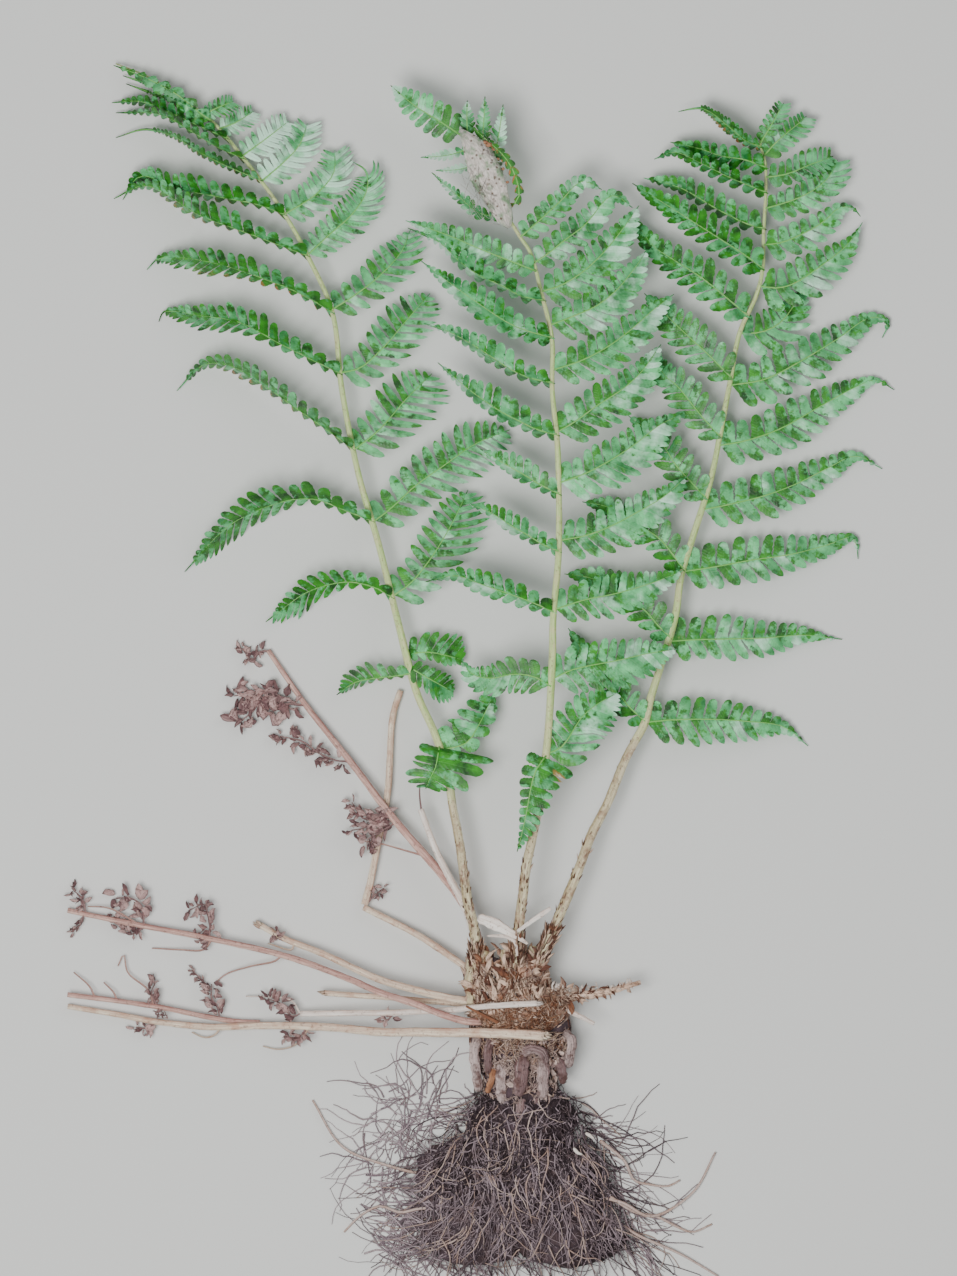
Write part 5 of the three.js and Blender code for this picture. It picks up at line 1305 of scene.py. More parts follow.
DEAD_STALKS["dead_stalk_3"] = dict(
    finish="straw", radii=(1.6, 1.8),
    route=[[-59.7, 174.8, 3], [-63.5, 162, 3.5], [-66.2, 123, 5], [-70, 103.7, 5], [-75, 78, 5],
           [-77.7, 67.8, 5]],
    second=[[-78.2, 66.4, 4.8], [-68, 61.5, 6], [-51.5, 53, 8], [-36, 43, 10], [-22, 33, 11]],
    curls=[([[-76, 69, 5], [-73, 72, 5.5], [-68, 76, 4]], 2.6)],
)
DEAD_STALKS["dead_stalk_4"] = dict(
    finish="straw", radii=(1.5, 2), torn=("far",),
    route=[[-129.5, 57.4, 5], [-117.8, 51, 7], [-97.3, 43, 10], [-70, 30.8, 15], [-34, 21.5, 21],
           [-24, 20, 22]],
    curls=[([[-116, 50.5, 7], [-120, 50.5, 7.5], [-122, 54, 6]], 2.6)],
    ribs=[[[-113, 49, 7.5], [-114, 45.5, 6.5], [-126, 48.5, 4]]],
)
print("upper dead stalks:", len(DEAD_STALKS))

# %% Courses of the lower dead stalks
DEAD_STALKS["dead_stalk_5"] = dict(
    finish="dead", radii=(1.3, 1.8),
    route=[[-226, 65, 4], [-216.7, 63, 4.5], [-189, 57.4, 6], [-153.5, 50.7, 9], [-115.7, 42, 12.5],
           [-87, 31.8, 17], [-70, 24.7, 21.5], [-49.4, 18, 27.2], [-40, 14.3, 29], [-28, 10.6, 27.8],
           [-19, 10, 24.5]],
    curls=[
        ([[-217, 63.3, 4.5], [-218.5, 70, 5], [-224, 76, 3]], 3.2),
        ([[-218, 63, 4.5], [-219.5, 58, 4], [-224, 54, 2.5]], 2),
        ([[-188, 57.5, 6], [-189, 67, 6], [-194, 71, 5.5], [-202, 71, 3]], 4.2),
        ([[-187, 57, 6], [-195, 53, 5], [-201, 58, 4], [-203, 62, 3]], 3),
        ([[-155, 51.5, 9], [-155, 58, 9], [-158, 68, 6], [-165, 65, 3.5]], 3.6),
        ([[-154, 50.5, 9], [-159, 48.5, 8], [-160, 53.5, 7.5]], 3),
    ],
    ribs=[
        [[-190, 57.8, 6], [-205, 66, 5], [-216, 67, 4]],
        [[-154, 50.6, 9], [-158, 45.5, 7], [-170, 45.3, 4], [-184, 46, 2]],
        [[-119, 43, 12.3], [-122, 40, 10], [-135, 37, 6], [-147, 33, 3], [-152, 29, 2]],
    ],
)
DEAD_STALKS["dead_stalk_6"] = dict(
    finish="straw", radii=(1.4, 1.4), torn=("far",),
    route=[[-97.3, 23.7, 9], [-70, 22, 12], [-34, 19, 16.2], [-24, 18.3, 17]],
)
DEAD_STALKS["dead_stalk_7"] = dict(
    finish="bone", radii=(1.5, 1.5), torn=("near",),
    route=[[-109.6, 13.5, 8.5], [-85, 14, 14], [-59.6, 14.5, 19], [-34, 16, 25.5], [-23, 17.4, 30.5],
           [-10, 18.6, 33.4], [8.3, 19.6, 33.8]],
    curls=[
        ([[-109, 13.6, 8.8], [-114, 12.5, 9], [-119, 18, 7], [-126, 21, 5]], 3.8),
        ([[-63.5, 14, 18.2], [-66, 10.5, 16], [-68, 12, 14.5]], 3),
    ],
    ribs=[[[-110, 13.7, 8.6], [-114, 20, 7], [-125, 21.8, 4.5], [-137, 22, 3]]],
)
DEAD_STALKS["dead_stalk_8"] = dict(
    finish="straw", radii=(1.3, 2.6), torn=("near",),
    route=[[-226, 17, 4], [-204.5, 13.5, 4.5], [-179, 9, 5.5], [-153.5, 6.8, 7.5], [-128, 7.6, 9],
           [-97, 7, 13], [-70, 4.8, 18], [-49, 4.8, 23], [-30, 4.8, 27.5], [-10, 4.5, 29],
           [11.8, 3.3, 29.3]],
    curls=[
        ([[-182, 9.5, 5.3], [-186, 6, 4], [-192, 6.5, 3]], 2.8),
        ([[-106, 7.2, 12], [-110, 2, 9], [-116, 1.5, 5]], 3),
    ],
    ribs=[
        [[-105, 7, 12], [-112, -2, 6], [-121, -4.5, 3], [-128.5, -3, 2]],
        [[-149, 7, 7.8], [-153, 2.5, 5], [-158, 1.5, 3], [-164, 4, 2]],
    ],
)
DEAD_STALKS["dead_stalk_9"] = dict(
    finish="dead", radii=(1.3, 1.3),
    route=[[-226, 23, 7], [-199.4, 19.6, 7], [-179, 16.5, 7], [-158.6, 12.3, 6.5], [-143, 9.6, 4.7],
           [-130, 9, 5]],
    curls=[
        ([[-181, 17, 7], [-184, 24, 7], [-182, 29, 4]], 3),
        ([[-150, 10.6, 5.6], [-151, 17, 7], [-154, 21, 7], [-154, 28, 4]], 3.4),
        ([[-154, 25, 5], [-160, 31, 3.5], [-164, 35, 2.5]], 1.8),
        ([[-178, 16.2, 7], [-182, 13.4, 8.5], [-176, 12.6, 8.8]], 1.6),
    ],
    ribs=[
        [[-183, 17.3, 7], [-185.5, 25, 6], [-196, 34, 4], [-198, 43, 3], [-201, 37, 2.5]],
        [[-201, 19.8, 7], [-203, 24, 5.5], [-208, 29, 3]],
        [[-212, 21, 7], [-215, 27, 5.5], [-223, 34, 3]],
    ],
)
print("dead stalks:", len(DEAD_STALKS))

# %% [markdown]
# ## Dead leaf and torn ends
#
# A stalk that dries falls in along two grooves. What is left of a leaf arm is a thin rib with
# brown scraps on both sides. Each scrap could be drawn by hand, but there are hundreds, and what
# shows is their crumpled mass. So random flakes are laid along the rib.

# %% Shape shrivelled leaf arms and torn ends
def crumpled(route, width):
    """A shrivelled leaf arm: an uneven rib with crumpled flakes on both sides of it."""
    course = smooth_path(route, 22)
    rib = tube(course, np.linspace(0.6, 0.3, 22)[:, None] * wavering(30, 22, 0.2, 6), 6, tone=0.6)
    count = int(6 + 0.75 * path_length(course))
    place, heading = along_course(course, np.linspace(0.08, 1, count))
    side = random.choice([-1, 1], count) * draw(0.3, 1.6, count)
    long = draw(0.9, 1.7, count) * width
    wide = long * draw(0.3, 0.6, count)
    left = flakes(place, np.arctan2(heading[:, 1], heading[:, 0]) + side, long, wide, 0.9,
                  draw(0, 1, count))
    return [(rib, 1), (left, 1)]


def splinters(course, radius):
    """Torn fibres at the end of a stalk: flat strips that go on in its last direction."""
    heading = unit(course[-1] - course[-4])
    feet = course[-1] - heading + draw(-0.6, 0.6, (12, 3)) * radius
    tips = feet + heading * draw(2, 5, (12, 1)) + draw(-0.9, 0.9, (12, 3))
    return scales(feet, tips, 0.8 * radius, 0.2, draw(0, 1, 12))


print("kinds of dead stalk:", sorted({spec["finish"] for spec in DEAD_STALKS.values()}))

# %% Build the dead stalks
GROOVES = np.array([1, 1, 0.98, 0.8, 0.98, 1, 1, 1, 0.97, 0.8, 0.97, 1])
DEAD_FINISHES = dict(dead=(DEAD, "dead_brown"), straw=(STRAW, "dead_straw"), bone=(BONE, "torn_white"))
for name, spec in DEAD_STALKS.items():
    far, near = spec["radii"]
    parts = []
    for route in [spec["route"]] + ([spec["second"]] if "second" in spec else []):
        course = smooth_path(route, 80)
        thick = np.linspace(far, near, 80)[:, None] * wavering(path_length(course), 80, 0.03, 12)
        parts.append((tube(course, thick * GROOVES, 12, 0.9, tone=0.5), 0))
    for end in spec.get("torn", ()):
        parts.append((splinters(course if end == "near" else course[::-1], near), 0))
    for route, width in spec.get("curls", ()):
        parts += crumpled(route, width)
    for route in spec.get("ribs", ()):
        parts.append((tube(smooth_path(route, 16), np.linspace(0.6, 0.35, 16), 5, tone=0.6),
                      1 if spec.get("dark_ribs") else 0))
    material, slot = DEAD_FINISHES[spec["finish"]]
    make_piece(name + "_fine", parts, [material, CRISP], replaces=[name])

# %% [markdown]
# ## Rhizome
#
# The short thick stem ends below in the blunt stumps of old stalks, each a bent finger with an
# uneven skin, and one orange bud. It could be sculpted as one lump. Two bumpy balls and ten fingers
# are easier to place and to change, and the flakes and fibres over them hide where they meet.

# %% Shape a bumpy ball and a blunt finger
LOWEST = 0.06
STUMP_PLACES = 26


def ball(centre, radii, rows=18, columns=28, bumps=0.06, tone=0.5):
    """A closed bumpy ellipsoid: centre + radii * direction * (1 + bumps), where the bumps are
    a sum of sine waves of the direction. Points below the surface are raised to it."""
    turn = 2 * np.pi * np.arange(columns) / columns
    dip = np.pi * np.arange(1, rows) / rows
    ring = np.stack([np.sin(dip)[:, None] * np.cos(turn), np.sin(dip)[:, None] * np.sin(turn),
                     np.broadcast_to(np.cos(dip)[:, None], (rows - 1, columns))], axis=-1)
    way = np.vstack([[[0, 0, 1]], ring.reshape(-1, 3), [[0, 0, -1]]])
    phase = draw(0, 6.28, 3)
    bumpy = sum(np.sin(way @ draw(-rate, rate, 3) + phase[i]) for i, rate in enumerate((5, 9, 15)))
    points = np.array(centre) + np.array(radii) * way * (1 + bumps * bumpy)[:, None]
    points[:, 2] = np.maximum(points[:, 2], LOWEST)
    middle = grid_faces(rows - 1, columns, True)[:, ::-1] + 1
    step = np.arange(columns)
    top = np.stack([np.zeros(columns, int), 1 + step, 1 + (step + 1) % columns], axis=1)
    last = 1 + (rows - 2) * columns
    bottom = np.stack([np.full(columns, last + columns), last + (step + 1) % columns, last + step], axis=1)
    return shape(points, [middle, top, bottom], along=points[:, 1], across=way[:, 0], tone=tone)


def stump(route, radius):
    """A blunt finger: an uneven tube whose end is rounded off like a quarter circle."""
    course = smooth_path(route, STUMP_PLACES)
    share = np.linspace(0, 1, STUMP_PLACES)[:, None]
    rounded = np.sqrt(np.clip(1 - ((share - 0.88) / 0.125) ** 2 * (share > 0.88), 0.02, 1))
    thick = radius * rounded * wavering(30, STUMP_PLACES, 0.09, 12) * (1.0 - 0.12 * share)
    return tube(course, thick, 12, tone=draw(0, 1))


print("rings of a finger:", STUMP_PLACES)

# %% Courses and radii of the stumps, and the two balls of the stem
STUMPS = [
    ([[-20, 2, 16], [-22.6, -3, 23.5], [-22.2, -13, 22.5], [-20.6, -25, 17.5]], 2.6),
    ([[-13, 2, 18], [-15.8, -3, 26.5], [-16.2, -9, 25], [-15.6, -16, 21]], 2.2),
    ([[1, -7, 19], [0.8, -12, 27.5], [0.3, -18, 27], [-0.5, -27, 21]], 3.5),
    ([[11, -9, 17], [11.3, -14, 25.8], [11.2, -20, 24.5], [11, -28, 19]], 3.2),
    ([[-1, -7, 21], [5, -3.5, 28.8], [10, -4.5, 29], [13, -10, 22.5]], 2.6),
    ([[21, 5, 14], [25.6, 1, 24], [25.2, -5, 23], [23.8, -13, 18]], 2.4),
    ([[-9, -8, 19], [-9.6, -17, 23.4], [-9.5, -24, 20.5], [-8.5, -31, 15]], 3.0),
    ([[2, -22, 14], [0.6, -30, 17.5], [0, -37, 16], [0.5, -43, 13]], 2.8),
    ([[-12, -12, 19], [-14, -18, 24], [-16.4, -25.5, 21]], 1.8),
    ([[18, -7, 15], [20.8, -14, 20.5], [21.2, -21, 16]], 2.4),
]
STEM = [([0, 4, 12.5], [24.6, 30, 13.2]), ([0, -22, 10.5], [18.5, 12, 11])]
BUD_NUMBER = 8
print("stumps:", len(STUMPS))

# %% Build the rhizome: 0 stump, 1 bud, 2 earth, 3 rust and 4 tan root
parts = [(ball(centre, radii, bumps=0.03), 2) for centre, radii in STEM]
for i, (route, radius) in enumerate(STUMPS):
    parts.append((stump(route, radius), 1 if i == BUD_NUMBER else 0))
# Small knobs on the upper side
x, y = draw(-22, 25, 44), draw(-33, 4, 44)
kept = height_on(STEM, x, y) > 12.5
for place in np.column_stack([x, y, height_on(STEM, x, y) - 0.4])[kept]:
    parts.append((ball(place, draw(1.2, 2.6, 3), rows=8, columns=10, bumps=0.12, tone=draw(0, 1)), 0))
# Loose flakes of old skin
place = np.column_stack([draw(-22, 26, 150), draw(-27, 5, 150), np.zeros(150)])
place[:, 2] = height_on(STEM, place[:, 0], place[:, 1]) + draw(0, 1.5, 150)
place = place[place[:, 2] > 12]
count = len(place)
sheets = flakes(place, any_heading(count), draw(2, 6, count), draw(1, 2.6, count), 0.5, draw(0, 1, count))
parts.append((sheets, 4))
# Fibres that lie over the lower half, each group between two heights of the picture
for count, low, high, number in ((260, -2, 7, 3), (260, -16, 4, 4), (160, -34, -6, 4)):
    x, y = draw(-24, 26, count), draw(low, high, count)
    parts.append((wires(x, y, random.normal(-1.6, 1.0, count), (3, 12), (0.18, 0.4), 0.3, STEM, (1.0, 1.1),
                        (-28, 30, -43, 8, 29), rows=7, sides=3, stay=True), number))
# Fibres round the flanks, down to the surface below
for number in (4, 3, 2, 0):
    parts.append((flank_wires(STEM[0], 420, (0.25, 0.6), (-30, 34)), number))
    parts.append((flank_wires(STEM[1], 160, (0.25, 0.6), (-34, -12)), number))
make_piece("rhizome_stem", parts, [STUMP, BUD, EARTH_AND_SHADE, RUST, TAN_ROOT], replaces=["rhizome"])

# %% [markdown]
# ## Crown
#
# The upper end of the rhizome is wrapped in rusty, papery scales that point roughly towards the
# fronds and outwards. They could be combed hair, but real ones are broad, torn and matted. So they
# are strips, flakes and short fibres of several materials, which stand on low rusty pads, with
# the scaly feet of three stalks and one dark hollow between them. The hollow's darkness is painted
# shade: a dark ball in the earth finish lies in the gap between the pads.

# %% Lay scales over the pads
PADS = [([-1, 16.5, 20], [25.5, 14, 11]), ([-20.5, 32, 20], [7.4, 15, 9.4]),
        ([0.5, 33, 20], [13.5, 12.5, 11.2])]


def crown_scales(count, low, high, spread, long, wide):
    """Scales with their feet on the pads, between two heights of the picture: they point to the
    fronds and outwards, with a random spread. Those that would stand out at the sides are short."""
    x, y = draw(-29, 25, count), draw(low, high, count)
    kept = height_on(PADS, x, y) > 18
    x, y = x[kept], y[kept]
    feet = np.column_stack([x, y, height_on(PADS, x, y) - 0.6])
    heading = np.pi / 2 - 0.014 * x + draw(-spread, spread, len(x))
    long = draw(0.4, 1.0, len(x)) * long
    course = np.column_stack([long * np.cos(heading), long * np.sin(heading), np.zeros(len(x))])
    beyond = height_on(PADS, *(feet + course)[:, :2].T) < 18
    tips = feet + course * np.where(beyond, 0.55, 1)[:, None]
    tips[:, 0], tips[:, 1] = np.clip(tips[:, 0], -31.5, 28), np.clip(tips[:, 1], 4, 50)
    ground = np.maximum(height_on(PADS, tips[:, 0], tips[:, 1], 14.0), feet[:, 2] - 4)
    tips[:, 2] = np.minimum(ground + draw(-0.2, 1.6, len(x)), 32)
    return scales(feet, tips, long * draw(0.5, 1.0, len(x)) * wide,
                  draw(-0.2, 1.0, len(x)), draw(0, 1, len(x)))


print("rusty pads:", len(PADS))

# %% Build the crown: 0 rust, 1 bone, 2 earth finish as painted shade, 3 bud, 4 tan root and 5 living stalk
CROWN_AREA = (-31, 28, 3, 50, 31.5)
STALK_FEET = [([[-20, 46, 24.5], [-22.5, 36, 25.4], [-23.2, 28, 24.8], [-22, 20, 22]], 4.6),
              ([[-6.5, 46, 25], [-5.4, 38, 26.4], [-4.4, 31, 26.6], [-7, 22, 24.5]], 3.6),
              ([[9, 46, 23], [6, 39, 25.6], [2.6, 33, 26.6], [-1, 23, 25]], 4.2)]
# Painted shade: a dark ball in the earth finish fills the hollow between the pads, standing for its shadow
hollow_shade_ball = ball([-12.6, 35.5, 23.5], [3.4, 6.0, 1.6], bumps=0.12)
splinter = tube(smooth_path([[-27, 18, 31.2], [-19, 14, 32.0], [-11, 10, 31.4]], 14),
                np.linspace(0.5, 0.9, 14), 6, 0.7, tone=0.9)
parts = [(ball(centre, radii, bumps=0.03), 0) for centre, radii in PADS]
parts += [(crown_scales(700, 16, 46, 0.5, 9.0, 0.26), 0),
          (crown_scales(320, 14, 44, 1.3, 6.0, 0.24), 0),
          (crown_scales(60, 12, 44, 1.5, 7.0, 0.3), 1), (hollow_shade_ball, 2), (splinter, 3)]
for route, thick in STALK_FEET:
    course = smooth_path(route, 24)
    thick = thick * wavering(26, 24, 0.06, 14)
    parts.append((tube(course, thick, 14, 0.8, tone=draw(0.4, 0.9)), 5))
# Broad flakes that lie along the stalks' feet
x, y = draw(-28, 12, 170), draw(17, 43, 170)
kept = height_on(PADS, x, y) > 20
place = np.column_stack([x, y, height_on(PADS, x, y) + draw(-0.2, 1.0, 170)])[kept]
place[:, 2] = np.minimum(place[:, 2], 29.5)
sheets = flakes(place, random.normal(1.6, 0.35, kept.sum()), draw(5, 10, kept.sum()),
                draw(1.4, 3.2, kept.sum()), 0.45, draw(0, 1, kept.sum()))
parts.append((sheets, 0))
# Short matted fibres on top
for count, low, high, number in ((420, 2, 20, 0), (260, 3, 19, 3), (120, 18, 44, 0), (60, 18, 44, 4)):
    x, y = draw(-25, 26, count), draw(low, high, count)
    kept = height_on(PADS, x, y) > 20
    parts.append((wires(x[kept], y[kept], any_heading(kept.sum()), (3, 9), (0.16, 0.34), 0.35, PADS,
                        (0.99, 1.04), CROWN_AREA, rows=6, sides=3, stay=True), number))
# Fibres round the flanks
for pad, count in zip(PADS, (320, 160, 160)):
    parts.append((flank_wires(pad, count, (0.25, 0.6), (3, 50)), 0))
    parts.append((flank_wires(pad, count // 2, (0.25, 0.6), (3, 50)), 4))
make_piece("crown_chaff", parts, [RUST, BONE, EARTH_AND_SHADE, BUD, TAN_ROOT, STIPE],
           replaces=["crown_scales"])

# %% [markdown]
# ## Roots
#
# The roots are a loose mat of dark wires with a few pale ones. Every root could be followed in the
# photograph, but most are hidden in the mat. So a low core fills it, some thousand random strands
# wander over it, and only the longest roots at the sides have measured courses.

# %% Where roots start
ROOT_CORE = [([2, -42, 8], [31, 24, 12]), ([8, -72, 8], [38, 28, 11]), ([-30, -68, 6], [26, 22, 9]),
             ([-22, -98, 6], [30, 16, 8]), ([24, -98, 7], [32, 18, 9])]
MAT_AREA = (-103, 98, -134, 4, 19.2)


def fan_starts(count, top, bottom):
    """Random places in the mat, which widens downwards, and headings that point away from the
    crown: straight down in the middle and outwards at the sides."""
    y = draw(bottom, top, count)
    x = 2 + draw(-1, 1, count) * (18 - 0.42 * y)
    return x, y, -np.pi / 2 + 0.014 * x + random.normal(0, 0.5, count)


print("width and height of the mat:", MAT_AREA[1] - MAT_AREA[0], MAT_AREA[3] - MAT_AREA[2])

# %% Strands of the mat: 0 dark root, 1 tan root, 2 earth, 3 loose root and 4 bone
parts = [(ball(centre, np.array(radii) * 0.86, bumps=0.05, tone=0.9), 2) for centre, radii in ROOT_CORE]
x, y, heading = fan_starts(560, -40, -108)
parts.append((wires(x, y, heading, (18, 48), (0.2, 0.46), 0.22, ROOT_CORE, (0.85, 1.04), MAT_AREA), 0))
x, y, heading = fan_starts(200, -24, -80)
parts.append((wires(x, y, heading, (12, 50), (0.2, 0.5), 0.2, ROOT_CORE, (0.8, 1.02), MAT_AREA), 0))
# Short dark bits that fill the gaps
for count, top, low, number in ((700, -22, -76, 2), (700, -20, -104, 0)):
    x, y, heading = fan_starts(count, top, low)
    kept = height_on(ROOT_CORE, x, y) > 11
    parts.append((wires(x[kept], y[kept], any_heading(kept.sum()), (2, 9), (0.22, 0.48), 0.42, ROOT_CORE,
                        (0.95, 1.07), MAT_AREA, rows=5, sides=3), number))
# Loose strands at the left edge
x, y = draw(-78, -38, 110), draw(-66, -26, 110)
parts.append((wires(x, y, any_heading(110), (18, 42), (0.25, 0.45), 0.3, ROOT_CORE, (0.5, 0.9),
                    MAT_AREA), 3))
x, y = draw(-82, -40, 130), draw(-112, -66, 130)
parts.append((wires(x, y, random.normal(-0.3, 0.6, 130), (25, 60), (0.25, 0.5), 0.2, ROOT_CORE,
                    (0.5, 0.9), MAT_AREA), 3))
# Pale strands on top
x, y, heading = fan_starts(110, -24, -105)
parts.append((wires(x, y, heading, (14, 45), (0.25, 0.5), 0.24, ROOT_CORE, (0.98, 1.05), MAT_AREA), 1))
print("groups of strands:", len(parts) - len(ROOT_CORE))

# %% Build the long roots and the whole mat
LONG_ROOTS = [
    [[-23, -63, 9], [-42.6, -67, 7], [-68, -62, 4], [-89, -53, 2.5], [-103.7, -30, 1.6]],
    [[40, -78, 9], [51.4, -81, 7], [65.4, -88, 4], [86.4, -76, 2.5], [97.7, -56, 1.6]],
    [[45, -88, 8], [58.4, -97, 5], [79.4, -106.5, 2.5], [99, -118, 1.6]],
    [[-40, -84, 9], [-50, -84, 5], [-60, -86, 3], [-70, -83, 2], [-80, -88, 1.2], [-88, -96, 0.8]],
    [[-8, -97, 9], [-25, -102, 8], [-40, -103, 4], [-55, -98, 2]],
    [[45, -78, 8], [58, -86, 4], [68, -88, 2.5], [78, -93, 1.5], [86, -96, 1.2], [96, -92, 0.8]],
    [[40, -50, 8], [52, -60, 4], [57, -70, 3], [64, -72, 2], [74, -73, 1.4], [80, -70, 1]],
]
for route in LONG_ROOTS:
    steps = int(path_length(smooth_path(route, 60)) / 3)
    parts.append((tube(smooth_path(route, steps), np.linspace(0.9, 0.5, steps), 6, tone=0.3), 1))
# Two white root tips
for route in ([[32.6, -45.6, 18], [34.6, -46.8, 18.4], [36.8, -48.6, 17.8]],
              [[26.6, -53, 18.2], [28.6, -55.4, 18.4], [31, -56.4, 17.8]]):
    parts.append((tube(smooth_path(route, 8), np.array([0.5, 0.8, 0.9, 0.9, 0.8, 0.7, 0.6, 0.3]), 8), 4))
make_piece("root_mat", parts, [ROOT, TAN_ROOT, EARTH_AND_SHADE, LOOSE_ROOT, BONE], replaces=["roots"])

# %% [markdown]
# ## Torn stalk, stub and strips
#
# On the right of the crown lie a torn scaly stalk and a short stub. White strips of stalk skin
# lie across the living stalks. A tube with a displaced surface could look torn. Separate flakes
# and fibres over a thinning tube look more so, because they stand out of its outline.

# %% Build the torn stalk: 0 rust and 1 bone
RAGS = 130
SHEETS = 45
course = smooth_path([[17, 21.8, 24], [27, 22.8, 23], [42.5, 24.7, 21], [60, 29.5, 19]], 50)
share = np.linspace(0, 1, 50)[:, None]
parts = [(tube(course, (3 - 1.9 * share) * wavering(44, 50, 0.07, 12), 12, 0.8, tone=0.3), 0)]
rag = draw(0, 1, RAGS) ** 1.4
feet = along_course(course, 0.92 * rag)[0] + np.column_stack([
    np.zeros(RAGS), (1 - rag) * draw(-2.2, 3.4, RAGS), 1.6 * (1 - rag) + 0.3])
feet[:, 1] = np.minimum(feet[:, 1], 29)
long = draw(2.0, 5.5, RAGS) * (1.1 - 0.5 * rag)
upper, lower = long[:SHEETS], long[SHEETS:]
sheets = flakes(feet[:SHEETS], draw(0.2, 2.4, SHEETS), upper,
                upper * draw(0.2, 0.4, SHEETS), 0.35, draw(0, 1, SHEETS))
rags = flakes(feet[SHEETS:], random.normal(0.3, 0.5, len(lower)), 1.3 * lower,
              lower * draw(0.25, 0.5, len(lower)), 0.5, draw(0, 1, len(lower)))
x, y = draw(14, 26, 90), draw(19, 27, 90)
fibres = wires(x, y, any_heading(90), (2, 5), (0.15, 0.3), 0.35, [([20, 23, 20], [12, 6, 6.5])], (1.0, 1.03),
               (10, 40, 14, 34, 27), rows=6, sides=3, stay=True)
parts += [(sheets, 1), (rags, 0), (fibres, 0)]
make_piece("torn_stalk_fine", parts, [RUST, BONE], replaces=["torn_stalk"])

# %% Build the short stub
course = smooth_path([[20, 17.5, 22], [28, 13.5, 22.5], [36.8, 9, 21]], 24)
thick = (1.5 - 0.4 * np.linspace(0, 1, 24)[:, None]) * wavering(20, 24, 0.05, 10)
make_piece("stalk_stub_fine", [(tube(course, thick, 10, tone=0.6), 0)], [BONE],
           replaces=["stalk_stub"])

# %% Build the white strips: course, width, flatness and shares of the width along it
parts = []
for route, wide, flatness, broad in (
    ([[-21, 62, 31.2], [-14, 59.5, 34], [-4, 54.2, 35.6], [3.7, 49.2, 35.4]], 3.2, 0.2,
     (0.5, 0.85, 1.0, 0.5, 0.2)),
    ([[-3.5, 54, 35.7], [5, 60, 37.2], [15.2, 67, 37.1]], 1.3, 0.4, (0.5, 0.6, 0.8, 1.0, 0.7)),
    ([[-16.7, 53, 33.5], [-8, 52.8, 35], [-3, 50.5, 35.4], [-1.4, 43.2, 34.4]], 0.9, 0.5,
     (0.3, 0.6, 1.0, 0.9, 0.6)),
):
    course = smooth_path(route, 30)
    share = np.linspace(0, 1, 30)
    profile = np.interp(share, [0, 0.06, 0.3, 0.75, 1], broad)
    thick = wide * profile[:, None] * wavering(30, 30, 0.05, 10)
    parts.append((tube(course, thick, 10, flatness, tone=0.2), 0))
make_piece("torn_strips_fine", parts, [BONE], replaces=["torn_strips"])

# %% [markdown]
# ## Silk nest
#
# A small papery sac is spun into the folded tip of the middle frond. It is off white, wrinkled,
# and shows brown dots. Woven threads could be modelled one by one, but they are too fine to be
# seen apart. So the sac is one flattened tube with folds, and the finish draws wrinkles and dots;
# only a few loose threads are real.

# %% Finish of the silk
def silk_finish():
    """Off white paper with brown dots on the corners of random cells, and soft wrinkles whose low
    parts are painted greyer as shade.
    """
    material, tree, shader = start_finish("silk", Specular_IOR_Level=0.2, Sheen_Weight=0.3)
    place = own_place(tree)
    cells = node(tree, "ShaderNodeTexVoronoi", {"Vector": place, "Scale": 380.0}).outputs["Distance"]
    dots = reckon(tree, "SUBTRACT", 1.0, between(tree, cells, 0.16, 0.32))
    dots = times(tree, dots, between(tree, cloud(tree, place, 120.0), 0.3, 0.46))
    side = reckon(tree, "ABSOLUTE", value_of(tree, "across"), 0.0)
    thin = plus(tree, cloud(tree, place, 210.0, 4.0, 0.6), times(tree, side, 0.14))
    wrinkles = cloud(tree, along_across(tree, 0.1, 2.5), 2.4, 5.0, 0.65)
    # Painted shade: the paper is greyer where the wrinkle bumps are low
    paper = colours(tree, between(tree, wrinkles, 0.35, 0.6), rgb("b9aea2"), rgb("e8dfd5"))
    colour = colours(tree, between(tree, thin, 0.54, 0.74), paper, rgb("7d9c74"))
    colour = colours(tree, times(tree, dots, 0.9), colour, rgb("5f4a34"))
    roughness = between(tree, wrinkles, -1.2, 1.2)
    finish_with(tree, shader, colour, roughness, wrinkles, 0.0016)
    return material


SILK = silk_finish()
print("silk finish:", len(SILK.node_tree.nodes), "nodes")

# %% Build the silk nest: 0 silk and 1 bud
NEST = [[-5.7, 404.2, 41.9, 0.8], [-7, 408, 42.4, 3.6], [-10.3, 415.7, 42.6, 5.6],
        [-12.6, 422, 42.8, 6.6], [-16.1, 430, 42.8, 8.0], [-19.6, 438, 42.4, 7.2],
        [-23.2, 444.5, 41.6, 5.6], [-29.8, 453.4, 39.4, 0.8]]
RINGS, SIDES = 64, 32
outline = smooth_path(NEST, RINGS)
folds = 1 + 0.05 * np.sin(np.linspace(0, 6 * np.pi, SIDES) + 3 * np.linspace(0, 1, RINGS)[:, None])
thick = outline[:, 3:] * folds * wavering(56, RINGS, 0.03, SIDES)
thick = thick * (1 + random.normal(0, 0.02, (RINGS, SIDES)))
parts = [(tube(outline[:, :3], thick, SIDES, 0.52, tone=0.5), 0)]
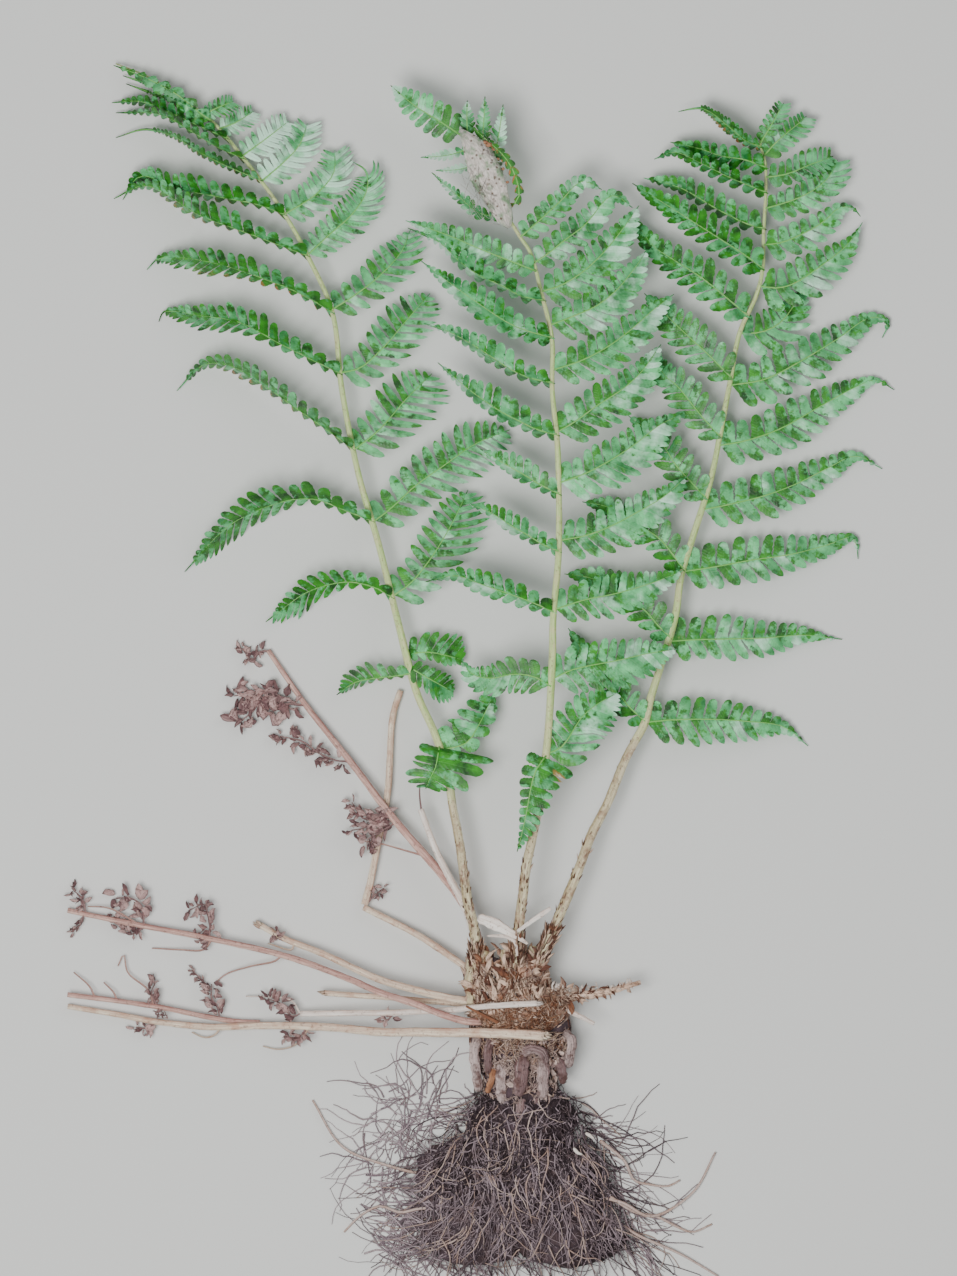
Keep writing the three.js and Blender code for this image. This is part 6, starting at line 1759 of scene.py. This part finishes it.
# Small brown crumbs at its lower edge
for place, size in (([-15.5, 445.4, 44.6], 1.5), ([-17.4, 446.8, 43.8], 1.1), ([-13.2, 443.2, 44.2], 1.0),
                    ([-11, 438.4, 44], 0.8), ([-8.6, 433.5, 43.8], 0.9), ([-6.4, 427, 43.4], 0.8)):
    radii = [size, 0.8 * size, 0.7 * size]
    parts.append((ball(place, radii, rows=8, columns=10, bumps=0.15, tone=0.2), 1))
WEB_BODY = ([-17, 428, 38], [13, 27, 8.4])
x, y = draw(-30, -4, 180), draw(403, 452, 180)
web = wires(x, y, random.normal(2.1, 0.5, 180), (5, 16), (0.1, 0.18), 0.1, [WEB_BODY], (0.97, 1.0),
            (-33, 0, 402, 455, 47), rows=6, sides=3, stay=True)
parts.append((web, 0))
make_piece("silk_nest_fine", parts, [SILK, BUD], replaces=["silk_nest"])

# %% [markdown]
# ## Floor and light
#
# The part lies on a plain pale floor in soft studio light: a large lamp above, a little to the
# left, a weaker one from the other side, and an even grey surrounding. One small lamp would give
# hard black shadows. A large one gives shadows that are dark near the leaf and soft further off,
# which show how high each leaf lies.

# %% Set the floor
FLOOR_HALF = 3.0
floor_mesh = bpy.data.meshes.new("floor")
corners = [(x * FLOOR_HALF, y * FLOOR_HALF, 0) for x, y in ((-1, -1), (1, -1), (1, 1), (-1, 1))]
floor_mesh.from_pydata(corners, [], [(0, 1, 2, 3)])
floor = bpy.data.objects.new("floor", floor_mesh)
floor_material, _, floor_shader = start_finish("floor", Roughness=0.9)
floor_shader.inputs["Base Color"].default_value = rgb("d4d4d0")
floor_mesh.materials.append(floor_material)
bpy.context.scene.collection.objects.link(floor)
print("floor width in metres:", 2 * FLOOR_HALF)


# %% Set the lamps and the surrounding
def soft_lamp(name, place, size, power):
    """A square lamp that looks at the middle of the plant; the camera doesn't see it."""
    lamp_data = bpy.data.lights.new(name, "AREA")
    lamp_data.size = size
    lamp_data.energy = power
    lamp = bpy.data.objects.new(name, lamp_data)
    lamp.location = place
    toward = Vector((VIEW_CENTRE[0], VIEW_CENTRE[1], 0)) - Vector(place)
    lamp.rotation_euler = toward.to_track_quat("-Z", "Y").to_euler()
    lamp.visible_camera = False
    bpy.context.scene.collection.objects.link(lamp)


soft_lamp("key_lamp", (-0.5, -0.15, 2.1), 0.9, 50.0)
soft_lamp("side_lamp", (1.3, 1.4, 1.6), 1.6, 12.0)
world = bpy.data.worlds.new("studio")
world.use_nodes = True
world.node_tree.nodes["Background"].inputs["Color"].default_value = (0.9, 0.95, 1.0, 1.0)
world.node_tree.nodes["Background"].inputs["Strength"].default_value = 0.34
bpy.context.scene.world = world
